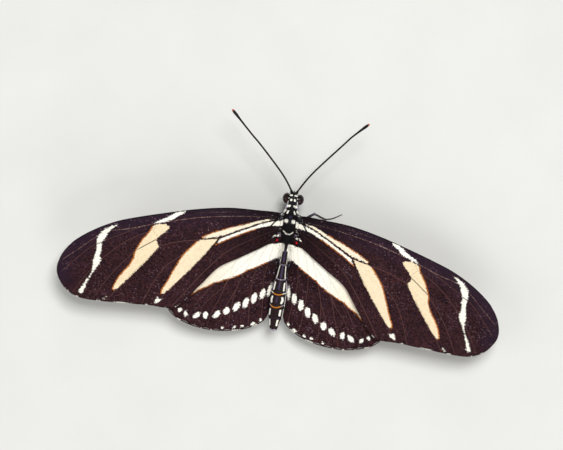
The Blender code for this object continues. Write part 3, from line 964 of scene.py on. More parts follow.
FOREWING = WingPlan(
    name="forewing",
    root=((1.0, 3.9), (0.9, 2.4), (0.9, 0.6), (1.1, -1.15)),
    edge=((3.0, -1.3), (6.0, -1.15), (11.7, -0.8), (17.5, 0.3), (23.4, 1.9), (29.3, 3.7), (33.2, 5.15),
          (37.2, 7.35), (40.6, 10.0), (42.5, 12.6), (43.25, 15.4), (42.7, 17.4), (41.0, 19.5), (38.3, 20.75),
          (34.5, 20.9), (28.0, 20.5), (24.3, 20.25), (21.5, 20.3), (19.6, 20.05), (17.5, 18.1), (15.0, 14.6),
          (12.2, 10.95), (8.4, 8.45), (5.2, 6.35), (3.4, 5.1), (2.2, 4.4)),
    fringe_from=(40.6, 10.0), fringe_to=(15.0, 14.6),
    length=44.0, costa_to=(43.0, 14.0),
    veins=(
        ((1.2, -0.75), (2.6, -0.75), (7.5, -0.5), (13.6, 0.3), (20.0, 1.5)),
        ((1.2, -0.3), (2.6, -0.3), (9.7, 0.55), (17.2, 1.95), (24.7, 4.15), (30.3, 6.1), (34.0, 7.15),
         (36.7, 8.9), (39.3, 11.3), (43.0, 14.6)),
        ((28.0, 5.3), (32.0, 7.6), (36.3, 10.05), (39.5, 13.2), (42.9, 17.2)),
        ((25.0, 4.3), (25.9, 5.7), (30.3, 8.35), (34.6, 12.5), (37.2, 16.0), (39.6, 20.4)),
        ((25.9, 5.7), (24.8, 7.3), (28.2, 9.9), (32.4, 15.1), (35.5, 20.9)),
        ((24.8, 7.3), (24.2, 8.6), (28.9, 15.1), (32.9, 20.8)),
        ((1.2, 0.3), (2.5, 0.45), (4.7, 0.95), (8.35, 2.75), (13.0, 5.3), (20.0, 7.0), (24.2, 8.6)),
        ((16.6, 6.05), (19.9, 9.9), (22.3, 12.2), (24.3, 15.8), (26.0, 20.4)),
        ((13.0, 5.3), (14.3, 7.3), (19.1, 14.0), (23.8, 20.2)),
        ((1.2, 1.7), (2.6, 2.3), (4.9, 3.55), (10.9, 7.5), (15.0, 12.35), (20.3, 20.1)),
    ),
    marks=(
        Mark(((32.6, 5.7), (33.8, 6.1), (34.7, 6.6), (35.2, 7.1), (35.7, 7.7), (36.2, 8.4), (36.2, 9.0),
              (36.2, 9.8), (36.1, 10.4), (36.1, 11.4), (36.25, 12.3), (36.45, 13.2), (36.4, 13.9),
              (36.35, 14.6), (36.45, 15.6), (36.85, 16.6), (37.6, 17.9), (38.1, 19.0), (38.3, 19.7),
              (37.8, 19.95), (37.3, 19.5), (37.2, 18.8), (36.97, 17.8), (36.55, 16.7), (36.12, 15.6),
              (35.6, 14.7), (35.2, 14.0), (34.95, 13.5), (34.85, 12.8), (35.15, 12.1), (35.1, 11.3),
              (34.95, 10.5), (35.1, 9.9), (34.9, 9.2), (34.5, 8.3), (34.2, 7.4), (33.5, 6.6), (32.9, 6.1)),
              0.12, rough=0.20),
        Mark(((19.9, 1.15), (21.2, 1.3), (22.3, 1.9), (23.2, 2.6), (24.2, 3.2), (25.2, 3.8), (25.95, 4.4),
              (25.5, 4.45), (24.4, 4.15), (23.2, 3.6), (22.2, 3.2), (21.4, 2.4), (20.6, 1.8)),
              0.0, rough=0.12),
        Mark(((22.7, 4.5), (23.5, 4.2), (24.5, 4.25), (25.5, 4.6), (26.05, 5.0), (26.25, 5.8), (26.8, 6.7),
              (27.5, 7.7), (28.0, 8.8), (28.4, 9.7), (28.7, 10.7), (28.7, 11.6), (29.0, 12.3), (29.4, 13.2),
              (30.2, 14.3), (30.9, 15.4), (31.35, 16.3), (31.7, 17.3), (31.9, 18.1), (31.55, 18.3),
              (30.8, 17.8), (29.8, 16.6), (28.7, 15.2), (27.5, 13.6), (26.2, 11.9), (25.3, 10.6), (24.6, 9.5),
              (24.2, 8.9), (24.25, 8.4), (24.65, 7.9), (24.8, 7.4), (24.5, 7.0), (24.0, 6.3), (23.3, 5.7),
              (22.8, 5.0)), 0.95, (4, 19)),
        Mark(((2.5, 0.0), (4.4, 0.3), (6.0, 0.8), (7.5, 1.5), (9.3, 2.25), (10.9, 2.84), (12.5, 3.62),
              (14.1, 4.34), (15.4, 5.06), (16.3, 5.65), (16.0, 5.85), (14.6, 5.56), (13.2, 5.16),
              (11.7, 4.48), (10.0, 3.56), (8.2, 2.62), (6.5, 1.72), (4.7, 0.88)), 0.6, (3, 10), 0.08),
        Mark(((1.1, -0.05), (3.0, 0.4), (4.7, 1.06), (6.5, 1.93), (8.3, 2.87), (10.0, 3.80), (11.8, 4.77),
              (12.75, 5.35), (13.5, 6.7), (12.6, 6.15), (11.3, 5.3), (9.7, 4.4), (8.1, 3.5), (6.35, 2.6),
              (4.6, 1.85), (3.4, 1.45), (1.1, 1.2)), 0.15, (8, 13), 0.10),
        Mark(((12.95, 5.35), (14.1, 5.6), (15.2, 5.8), (16.4, 6.1), (17.1, 6.6), (17.9, 7.6), (18.7, 8.6),
              (19.4, 9.6), (19.9, 10.7), (20.4, 11.9), (21.0, 13.3), (21.4, 14.5), (22.0, 15.8), (22.5, 16.9),
              (22.5, 17.6), (22.0, 17.6), (21.1, 16.7), (20.0, 15.3), (18.8, 13.8), (17.6, 12.2),
              (16.4, 10.6), (15.2, 8.9), (14.15, 7.2), (13.4, 6.0)), 0.9, (4, 14)),
        Mark(((21.9, 18.5), (22.4, 18.6), (23.1, 18.3), (23.4, 18.9), (23.6, 19.7), (22.9, 19.6),
              (22.2, 19.0)), 0.05),
    ),
    spots=(Spot(32.9, 19.9, 0.40, 0.16, 25.0), Spot(33.3, 20.35, 0.25, 0.14, 0.0)),
    strokes=(
        (((34.6, 9.3), (36.4, 10.1)), 0.08),
        (((24.8, 7.3), (26.4, 8.5), (28.2, 9.9)), 0.07),
        (((2.3, 0.15), (4.7, 0.97), (8.35, 2.78)), 0.07),
        (((8.35, 2.78), (13.0, 5.32), (16.9, 6.05)), 0.07),
        (((13.0, 5.3), (13.9, 6.9), (14.6, 7.9)), 0.08),
        (((2.5, 0.0), (2.75, 0.45), (3.2, 1.1), (3.7, 1.8)), 0.15),
        (((1.72, 0.0), (1.74, 1.2)), 0.06),
    ),
    hooks=((((1.68, 2.95), (1.98, 3.38), (2.32, 3.08), (2.66, 3.52)), 0.17), (((1.68, 1.82), (1.74, 1.92)),
                                                                              0.17)),
    reds=(Spot(1.90, 4.06, 0.28, 0.16, 75.0),),
    costa_width=4.5, dash_from=17.5,
)

HINDWING = WingPlan(
    name="hindwing",
    root=((0.6, 4.7), (0.8, 3.9), (0.9, 2.9), (1.1, 1.9)),
    edge=((4.5, 1.75), (9.0, 3.5), (14.5, 7.5), (18.0, 12.0), (20.5, 17.0), (21.0, 20.0), (19.5, 21.7),
          (17.0, 22.7), (14.0, 23.3), (10.3, 23.25), (7.2, 22.7), (5.1, 22.0), (3.1, 20.9), (1.85, 19.7),
          (1.35, 18.2), (1.1, 16.0), (1.05, 13.5), (0.85, 11.0), (0.6, 8.0), (0.5, 6.0)),
    fringe_from=(20.5, 17.0), fringe_to=(1.35, 18.2),
    length=24.0, costa_to=(20.6, 18.0),
    veins=(
        ((1.2, 2.3), (2.6, 2.6), (6.0, 4.6), (11.0, 8.6), (16.0, 14.0), (19.7, 20.0), (20.2, 21.1)),
        ((6.0, 4.6), (9.5, 10.0), (12.8, 14.4), (14.6, 17.0), (16.2, 20.0), (17.2, 22.6)),
        ((1.2, 2.6), (2.6, 3.2), (5.4, 6.8), (8.3, 10.5), (10.1, 13.25), (11.1, 16.5), (12.4, 20.1),
         (12.9, 23.3)),
        ((5.4, 6.8), (6.6, 9.6), (8.3, 14.7), (8.7, 18.5), (8.8, 23.0)),
        ((2.6, 3.2), (4.3, 7.0), (5.2, 10.5), (5.4, 15.3), (4.9, 21.9)),
        ((1.2, 3.4), (2.2, 4.6), (3.0, 9.0), (3.3, 12.0), (3.0, 15.5), (2.5, 20.3)),
        ((9.5, 10.0), (10.6, 14.2), (14.0, 18.5), (15.3, 23.1)),
        ((8.3, 14.7), (10.0, 18.8), (10.9, 23.2)),
    ),
    marks=(
        Mark(((16.7, 17.0), (16.1, 16.45), (15.5, 15.9), (14.8, 15.45), (13.75, 14.9), (12.8, 14.1),
              (11.9, 13.8), (10.8, 13.2), (9.5, 12.65), (8.4, 12.0), (7.55, 11.45), (6.8, 10.75), (5.7, 10.2),
              (4.3, 9.35), (3.0, 8.5), (1.8, 7.7), (0.9, 7.25), (0.2, 7.1), (0.2, 4.4), (0.96, 4.44),
              (1.77, 4.7), (2.9, 4.8), (6.0, 5.8), (9.0, 7.4), (12.0, 9.8), (14.2, 12.8), (15.9, 15.4)),
              0.1, (0, 14), 0.09, 0.11, (8.0, 16.0)),
    ),
    spots=(
        Spot(18.5, 20.2, 0.50, 0.42, 45.0), Spot(17.2, 20.85, 0.58, 0.42, 119.0),
        Spot(15.1, 20.82, 0.92, 0.52, 44.0), Spot(13.45, 20.5, 0.80, 0.54, 88.0),
        Spot(11.3, 20.05, 1.02, 0.55, 50.0), Spot(9.52, 19.15, 0.88, 0.64, 75.0),
        Spot(7.72, 17.98, 1.06, 0.60, 66.0), Spot(6.1, 17.02, 1.12, 0.60, 76.0),
        Spot(4.6, 15.85, 1.14, 0.60, 82.0), Spot(3.13, 14.8, 1.16, 0.54, 79.0),
        Spot(1.85, 13.8, 1.50, 0.40, 80.0), Spot(9.9, 22.5, 0.36, 0.28, 10.0),
        Spot(7.6, 22.0, 0.38, 0.30, 30.0), Spot(6.08, 21.65, 0.42, 0.32, 40.0),
        Spot(4.07, 20.88, 0.55, 0.34, 30.0), Spot(2.75, 19.9, 0.46, 0.30, 75.0), ),
    layer=0.96, droop=0.0025, scallop=0.13, dash_chance=0.75,
)


@dataclass
class Wing:
    """One wing: a thin scaled membrane, its veins as ribs on both faces, and a fringe of edge scales."""

    plan: WingPlan
    side: Side
    scales: bpy.types.Material
    hair: bpy.types.Material
    blade: LockPattern
    tuft: LockPattern
    fringe_seed: int = SEED + 24
    hair_seed: int = SEED + 8
    hair_count: int = 1300
    hair_length: Pair = (0.45, 0.95)
    hinge_height: float = 6.60
    rise: float = 0.170             # slope, arch across and arch along of the spread wing
    arch: float = 0.0030
    droop: float = 0.0016
    thickness: float = 0.15
    grid: float = 0.21
    fringe: float = 0.24
    sag: float = 0.13               # how far the membrane dips between two veins
    vein_root: float = 0.155        # radii of a vein at the root and at the margin
    vein_tip: float = 0.085
    costa_girth: float = 1.1        # the front rim's rib against the others
    spot_warmth: float = 0.06
    spot_rough: float = 0.07
    peach: float = 0.7              # the warmth of a mark's peach end
    margin: np.ndarray = field(init=False)      # the edge with its fringe
    fringed: np.ndarray = field(init=False)     # how fully each point of the margin is fringed
    outline: np.ndarray = field(init=False)     # the membrane's own
    ribs: list[np.ndarray] = field(init=False)

    def __post_init__(self) -> None:
        """Lay out the membrane's outline and the veins."""
        plan = self.plan
        self.margin = smooth_path([plan.root[-1], *plan.edge, plan.root[0]], 0.25)
        start, stop, costa_end = (int(np.argmin(np.linalg.norm(self.margin - place, axis=1)))
                                  for place in (plan.fringe_from, plan.fringe_to, plan.costa_to))
        number = np.arange(len(self.margin))
        self.fringed = np.clip(np.minimum(number - start, stop - number) / 12, 0.0, 1.0)
        scallop = plan.scallop * np.exp(-(self.gap_to_vein_end(self.margin) / 0.7) ** 2)
        depth = 0.04 + self.fringed * (self.fringe + scallop)
        self.outline = inset(np.vstack([self.margin, plan.root[1:-1]]),
                             np.concatenate([depth, np.zeros(len(plan.root) - 2)]))
        costa = inset(self.margin, 0.14)[3:costa_end]
        self.ribs = [smooth_path(vein, 0.4) for vein in (*plan.veins, costa[::4])]

    def gap_to_vein_end(self, plan: np.ndarray) -> np.ndarray:
        """Measure from points in plan to the nearest end of a vein."""
        ends = np.array([vein[-1] for vein in self.plan.veins])
        return np.linalg.norm(plan[:, None] - ends[None], axis=2).min(axis=1)

    def height(self, plan: np.ndarray) -> np.ndarray:
        """Find the height of the middle of the membrane over points in plan.

        Args:
            plan: Points with x outwards.

        Returns:
            The height of each in millimetres.
        """
        x, y = plan.T
        base = self.hinge_height + self.rise * x - self.arch * x ** 2 - self.droop * y ** 2
        base -= self.plan.layer + self.plan.droop * np.maximum(0.0, y - 4.0) ** 2
        gap = np.min([nearest_on(plan, rib)[0] for rib in self.ribs], axis=0)
        dip = self.sag * (1.0 - np.exp(-(gap / 0.8) ** 2))
        wave = 0.05 * np.sin(x * 0.9 + 0.6 * y) * np.sin(y * 0.7 - 0.3 * x)
        return base - dip + wave * np.clip(x / 6.0, 0.0, 1.0)

    def raised(self, plan: np.ndarray, height: np.ndarray | None = None) -> np.ndarray:
        """Bring points in plan to the membrane, or to given heights, on this wing's side.

        Args:
            plan: Points with x outwards.
            height: Their heights, if they aren't the membrane's.

        Returns:
            Points in the hinge frame, one row each.
        """
        if height is None:
            height = self.height(plan)
        return np.column_stack([plan, height]) * self.side.mirror

    def pale_depths(self, plan: np.ndarray) -> np.ndarray:
        """Measure how deep places lie inside each pale mark, spot and hook.

        Args:
            plan: Points with x outwards.

        Returns:
            One row for each mark, then each spot, then each hook.
        """
        depths = [depth_inside(plan, mark.outline) for mark in self.plan.marks]
        depths += [spot.depth(plan) for spot in self.plan.spots]
        depths += [width - nearest_on(plan, line)[0] for line, width in self.plan.hooks]
        return np.array(depths)

    def dress(self, item: bpy.types.Object, ridge: float) -> bpy.types.Object:
        """Store the markings at each vertex and give the piece its scales.

        Args:
            item: A piece of this wing.
            ridge: How much of a vein the piece is.

        Returns:
            The same piece.
        """
        places = hinge_places(item) * self.side.mirror
        plan, marks = places[:, :2], self.plan.marks
        depths = self.pale_depths(plan)
        pale, nearest = depths.max(axis=0), depths.argmax(axis=0)
        others = len(depths) - len(marks)
        warm = np.array([mark.warmth for mark in marks] + [self.spot_warmth] * others)[nearest]
        rough = np.array([mark.rough for mark in marks] + [self.spot_rough] * others)[nearest]
        amber = np.full(len(plan), OUTSIDE)
        for number, mark in enumerate(marks):
            if mark.warmer:
                turning = np.interp(plan[:, 0], mark.warmer, (mark.warmth, self.peach))
                warm = np.where(nearest == number, turning, warm)
            if mark.amber:
                first, last = mark.amber
                gap, _ = nearest_on(plan, mark.outline[first:last + 1])
                amber = np.maximum(amber, mark.amber_width - np.abs(gap - 0.03))
        ink = depth_in_lines(plan, [(smooth_path(line, 0.3), width) for line, width in self.plan.strokes])
        under = places[:, 2] < self.height(plan) - 0.02
        rim, _ = nearest_on(plan, self.margin[:len(self.margin) // 2])
        return coat_piece(item, self.scales, {
            "pale": pale, "rough": rough, "warm": warm, "ridge": ridge, "under": under,
            "amber": np.where(under, OUTSIDE, amber),
            "ink": np.where(under, np.minimum(ink, pale + 0.1), ink),
            "far": np.clip(np.hypot(*plan.T) / 16.0 - 0.1, 0.0, 1.0),
            "costa": np.clip(1.0 - rim / self.plan.costa_width, 0.0, 1.0) * 0.7,
            "red": deepest([spot.depth(plan) for spot in self.plan.reds], len(plan))})

    def membrane(self, name: str) -> bpy.types.Object:
        """Model the membrane from a grid cut to the wing's outline.

        Args:
            name: The piece's name.

        Returns:
            The finished membrane.
        """
        low, high = self.outline.min(axis=0), self.outline.max(axis=0)
        steps = [math.ceil(length / self.grid) for length in high - low]
        item = start_from(name, bpy.ops.mesh.primitive_grid_add, x_subdivisions=steps[0],
                          y_subdivisions=steps[1], size=1.0)
        plan = vertex_places(item)[:, :2] * (high - low) + (low + high) / 2
        move_vertices(item, np.column_stack([plan, np.zeros(len(plan))]) * MM)
        mesh = item.data
        corners = np.empty(len(mesh.polygons) * 4, dtype=int)
        mesh.polygons.foreach_get("vertices", corners)
        outside = depth_inside(plan[corners.reshape(-1, 4)].mean(axis=1), self.outline) < 0.0
        for elements, chosen in ((mesh.vertices, False), (mesh.edges, False), (mesh.polygons, outside)):
            elements.foreach_set("select", np.full(len(elements), chosen))
        take(item)
        bpy.ops.object.mode_set(mode="EDIT")
        bpy.ops.mesh.select_mode(type="FACE")
        bpy.ops.mesh.delete(type="FACE")
        bpy.ops.mesh.select_mode(type="VERT")
        bpy.ops.mesh.select_all(action="DESELECT")
        bpy.ops.mesh.select_non_manifold()
        bpy.ops.object.mode_set(mode="OBJECT")

        # the stepped rim of the cut grid is drawn onto the outline
        plan = vertex_places(item)[:, :2] / MM
        rim = np.empty(len(plan), dtype=bool)
        mesh.vertices.foreach_get("select", rim)
        _, plan[rim] = nearest_on(plan[rim], np.vstack([self.outline, self.outline[:1]]))
        move_vertices(item, to_model(self.raised(plan)))
        with editing(item):
            bpy.ops.mesh.remove_doubles(threshold=0.02 * MM)
            bpy.ops.mesh.dissolve_degenerate(threshold=0.01 * MM)
            bpy.ops.mesh.normals_make_consistent(inside=False)
        shell = item.modifiers.new("thickness", "SOLIDIFY")
        shell.thickness = self.thickness * MM
        shell.offset = 0.0
        take(item)
        bpy.ops.object.modifier_apply(modifier=shell.name)
        close_shell(item)
        return self.dress(item, 0.0)

    def rib_work(self, name: str) -> bpy.types.Object:
        """Model all veins of the wing as thin tapering ribs sunk in the membrane.

        Args:
            name: The piece's name.

        Returns:
            The finished ribs as one piece.
        """
        parts = []
        for rib, girth in zip(self.ribs, [1.0] * len(self.plan.veins) + [self.costa_girth]):
            share = np.clip(np.hypot(rib[:, 0] - 1.0, rib[:, 1] - 1.5) / self.plan.length, 0.0, 1.0)
            radii = (self.vein_root + (self.vein_tip - self.vein_root) * share ** 0.7) * girth
            inside = depth_inside(rib, self.outline) > 0.03
            if inside.sum() > 2:
                parts.append(draw_tube("rib", self.raised(rib)[inside], radii[inside]))
        return self.dress(join(name, parts), 1.0)

    def fringe_scales(self, name: str) -> bpy.types.Object:
        """Grow the short scales along the wing's margin, in dark and white runs.

        Args:
            name: The piece's name.

        Returns:
            The finished fringe.
        """
        random = np.random.default_rng(self.fringe_seed + self.side.value)
        line = smooth_path(inset(self.margin, self.fringe + 0.06)[self.fringed > 0.3], 0.085)
        outward = (line - inset(line, 1.0))[1:-1]
        line = line[1:-1]
        outward *= np.sign(np.sum(outward * (line - self.outline.mean(axis=0)), axis=1).mean())
        count = len(line)
        run = np.sin(np.arange(count) * 0.11) + random.normal(0.0, 0.35, count)
        white = ((self.gap_to_vein_end(line) > 0.9) & (run > 1.0 - 1.6 * self.plan.dash_chance)
                 & (line[:, 1] > self.plan.dash_from))
        angle = random.normal(0.0, 0.12, count)
        turned = np.column_stack([outward[:, 0] * np.cos(angle) - outward[:, 1] * np.sin(angle),
                                  outward[:, 0] * np.sin(angle) + outward[:, 1] * np.cos(angle)])
        return Locks(
            roots=self.raised(line),
            ups=np.tile((0.0, 0.0, 1.0), (count, 1)),
            lies=self.raised(turned, np.zeros(count)),
            lengths=random.uniform(0.75, 1.0, count) * (self.fringe + 0.04),
            widths=random.uniform(0.14, 0.19, count),
            lifts=random.normal(0.0, 0.05, count),
            unwrap=np.column_stack([np.linspace(0.02, 0.98, count), np.full(count, 0.5)]),
            marks={"pale": clearly(white), "warm": 0.1, "ridge": random.uniform(0.2, 0.9, count),
                   "far": 0.5, **dict.fromkeys(("rough", "under", "costa"), 0.0),
                   **dict.fromkeys(("amber", "ink", "red"), OUTSIDE)},
            bow=0.0, sink=0.0).grow(name, self.blade, self.scales)

    def base_hair(self, name: str) -> bpy.types.Object:
        """Grow the long hair that lies over the wing's root.

        Args:
            name: The piece's name.

        Returns:
            The finished hair.
        """
        random = np.random.default_rng(self.hair_seed + 11 * self.side.value)
        count = self.hair_count
        forewing = self.plan is FOREWING
        if forewing:
            x = 1.2 + random.exponential(0.9, count)
            y = random.uniform(-1.1, 3.7, count) + 0.12 * x
            bearing = 0.12 + 0.20 * (y - 0.5) + random.normal(0.0, 0.18, count)
            share = random.random(count)
            near_thorax = (x < 1.9) & (y > 2.3) & (y < 3.2)
            pale = clearly((share < 0.04) & (y < 0.0))
            often = np.where(near_thorax, 0.6, 0.93)
            lilac = clearly((share > often) & ((y < 0.2) | near_thorax))
        else:
            y = random.uniform(4.4, 17.5, count)
            x = np.interp(y, (4.4, 6.0, 11.0, 17.5), (0.7, 0.75, 0.95, 1.2)) + random.exponential(0.35, count)
            bearing = math.radians(80) + random.normal(0.0, 0.25, count)
            pale = clearly(y < 7.3)
            lilac = clearly((y > 7.4) & (random.random(count) < 0.04))
        plan = np.column_stack([x, y])
        way = np.column_stack([np.cos(bearing), np.sin(bearing)])
        pale = np.maximum(pale, self.pale_depths(plan + way * 0.3).max(axis=0))
        if not forewing:
            pale = np.where(random.random(count) < 0.10, OFF, pale)

        # hair grows on the wing near its root, off the drawn lines and red spots, and sparser on pale marks
        inside = (depth_inside(plan, self.outline) > -0.05) & (x < 5.0)
        for covered in (depth_in_lines(plan, self.plan.strokes, 0.06),
                        depth_in_lines(plan, self.plan.hooks, 0.1),
                        deepest([spot.depth(plan) + 0.1 for spot in self.plan.reds], count)):
            inside &= covered < 0.0
        inside &= (y < 8.5) | (random.random(count) < 0.5)
        if forewing:
            inside &= (pale < 0.0) | (random.random(count) < 0.35)
        z = self.height(plan)
        slope = (self.height(plan + (0.1, 0.0)) - z) / 0.1
        locks = Locks(roots=self.raised(plan, z + self.thickness / 2),
                      ups=unit(self.raised(np.column_stack([-slope, np.zeros(count)]), np.ones(count))),
                      lies=unit(self.raised(way, np.cos(bearing) * slope)),
                      lengths=(random.uniform(*self.hair_length, count)
                               * np.where(forewing & (y > 2.2), 0.5, 1.0)),
                      widths=random.uniform(0.05, 0.085, count),
                      lifts=np.abs(random.normal(0.30, 0.12, count)),
                      unwrap=0.02 + 0.96 * np.column_stack([np.clip(x / 5.0, 0.0, 1.0), (y + 1.2) / 19.0]),
                      marks=Locks.hair_marks(count, random, pale, lilac))
        return locks.kept(inside).grow(name, self.tuft, self.hair)

    def build(self) -> None:
        """Build and hand over the pieces of the wing."""
        node = f"{self.plan.name}_{self.side.label}"
        for make, kind, slot in ((self.membrane, "membrane", "wing_scales"),
                                 (self.rib_work, "veins", "wing_scales"),
                                 (self.fringe_scales, "fringe", "wing_scales"),
                                 (self.base_hair, "base_hair", "body_hair")):
            hand_over(make(f"{kind}_{node}"), slot, node)


# Head, neck, thorax and abdomen


class Tint(Enum):
    """The colours of the body's markings, by the attribute that carries each."""

    CREAM = "pale"
    AMBER = "amber"
    LILAC = "lilac"
    # a cool bluish tone on the face, and painted bluish sheen on the thorax and the back
    BLOOM = "bloom"
    CRIMSON = "red"


@dataclass(frozen=True)
class BodyMark:
    """A mark on both sides of the body: a line seen from above or from the side, and its half width."""

    line: Line
    half_width: float
    tint: Tint = Tint.CREAM
    seen_from_side: bool = False    # then each point is (y, height over the trunk's middle)


BODY_MARKS = (
    BodyMark(((0.30, -5.00), (0.68, -4.96)), 0.14),
    BodyMark(((0.33, -4.10), (0.38, -4.02)), 0.20),
    BodyMark(((0.84, -4.42), (0.88, -4.36)), 0.10),
    BodyMark(((0.98, -3.74), (1.14, -3.44)), 0.15),
    BodyMark(((0.45, -2.90), (0.82, -2.78)), 0.20),
    BodyMark(((0.98, -3.20), (1.22, -2.45)), 0.20, Tint.LILAC),
    BodyMark(((1.18, -1.92), (1.50, -1.62)), 0.20),
    BodyMark(((0.60, -1.80), (0.74, -1.44)), 0.14),
    BodyMark(((0.54, 0.02), (0.84, 0.02), (0.84, 0.24), (0.54, 0.24), (0.54, 0.02)), 0.19),
    BodyMark(((1.42, 0.15), (1.46, 1.05)), 0.19),
    BodyMark(((0.0, 2.62), (0.40, 2.55), (0.66, 2.36), (0.88, 2.12)), 0.085),
    BodyMark(((1.52, 1.82), (1.58, 1.88)), 0.12),
    # painted bluish sheen on the front of the thorax
    BodyMark(((0.10, -0.95), (0.15, -0.75)), 0.14, Tint.BLOOM),
    BodyMark(((1.25, 3.1), (1.3, 3.5)), 0.15, Tint.BLOOM),
    BodyMark(((0.62, 4.75), (0.52, 5.75)), 0.25),
    # painted bluish sheen down the middle of the abdomen's back
    BodyMark(((0.0, 5.9), (0.05, 7.9)), 0.10, Tint.BLOOM),
    BodyMark(((0.0, 8.9), (0.05, 11.0)), 0.12, Tint.BLOOM),
    BodyMark(((0.0, 12.0), (0.05, 13.3)), 0.11, Tint.BLOOM),
    BodyMark(((0.0, 15.0), (0.05, 15.9)), 0.11, Tint.BLOOM),
    BodyMark(((0.60, 6.1), (0.64, 8.2)), 0.045),
    BodyMark(((0.0, 8.62), (0.40, 8.56), (0.72, 8.36)), 0.04, Tint.LILAC),
    BodyMark(((0.58, 8.8), (0.70, 10.2), (0.84, 11.2)), 0.07),
    BodyMark(((1.0, 8.8), (1.12, 11.1)), 0.04, Tint.LILAC),
    BodyMark(((0.0, 11.52), (0.5, 11.46), (0.95, 11.36)), 0.065, Tint.LILAC),
    BodyMark(((0.90, 12.1), (0.98, 13.5)), 0.13),
    BodyMark(((1.12, 11.6), (1.45, 13.8)), 0.045, Tint.LILAC),
    BodyMark(((0.0, 14.46), (0.5, 14.38), (0.90, 14.22)), 0.085, Tint.AMBER),
    BodyMark(((0.90, 14.22), (1.40, 13.95)), 0.07),
    BodyMark(((0.98, 14.95), (1.08, 15.45), (0.98, 15.95)), 0.18),
    BodyMark(((1.45, 14.5), (1.48, 16.2)), 0.05, Tint.LILAC),
    BodyMark(((0.0, 16.98), (0.5, 16.88), (0.92, 16.66)), 0.095, Tint.AMBER),
    BodyMark(((0.92, 16.66), (1.40, 16.32)), 0.06, Tint.LILAC),
    BodyMark(((1.02, 17.4), (0.98, 18.4)), 0.15),
    BodyMark(((1.46, 17.0), (1.40, 18.5)), 0.05),
    BodyMark(((0.78, 19.4), (0.66, 20.4)), 0.13),
    BodyMark(((0.0, 19.10), (0.6, 19.02), (1.1, 18.9)), 0.03, Tint.BLOOM),
    BodyMark(((0.0, 21.50), (0.45, 21.35)), 0.19, Tint.LILAC),
    BodyMark(((-5.80, -0.5), (-5.80, 0.2)), 0.14, Tint.BLOOM, True),
    BodyMark(((-3.62, -0.3), (-3.50, 0.6)), 0.13, seen_from_side=True),
    BodyMark(((-5.52, -0.75), (-5.42, 0.0), (-5.30, 0.65)), 0.085, seen_from_side=True),
    BodyMark(((11.8, 0.05), (13.9, 0.0)), 0.09, seen_from_side=True),
    BodyMark(((14.5, 0.05), (16.5, 0.0)), 0.10, seen_from_side=True),
    BodyMark(((17.2, 0.05), (18.8, 0.0)), 0.09, seen_from_side=True),
    BodyMark(((19.4, 0.05), (20.5, 0.0)), 0.08, seen_from_side=True),
    BodyMark(((5.0, -0.3), (20.6, -0.42)), 0.10, seen_from_side=True),
    BodyMark(((-1.1, 0.9), (-0.7, 1.1)), 0.18, seen_from_side=True),
    BodyMark(((-1.2, -0.5), (-0.6, -0.4)), 0.20, seen_from_side=True),
    BodyMark(((0.6, -0.9), (1.3, -0.8)), 0.20, seen_from_side=True),
    BodyMark(((2.2, -0.6), (2.8, -0.4)), 0.20, seen_from_side=True),
)


@dataclass(frozen=True)
class CoatStretch:
    """One stretch of the coat over the trunk, and how its locks grow."""

    name: str
    nodes: tuple[str, ...]
    span: Pair                      # from and to where along the trunk
    spacing: float                  # between roots
    length: Pair                    # of the shortest and the longest lock
    width: float
    lift: float                     # how steeply a lock leaves the skin
    bow: float                      # how far its tip bends back to the skin


COATS = (
    CoatStretch("coat_head", ("head",), (-5.74, -3.15), 0.066, (0.18, 0.34), 0.072, 0.47, 0.35),
    CoatStretch("coat_thorax", ("neck", "thorax"), (-3.15, 4.35), 0.088, (0.36, 0.62), 0.095, 0.42, 0.33),
    CoatStretch("coat_abdomen", ("abdomen",), (4.35, 21.5), 0.086, (0.18, 0.30), 0.105, 0.28, 0.14),
)
EYE_CENTRE = np.array([1.20, -4.33, 6.08])


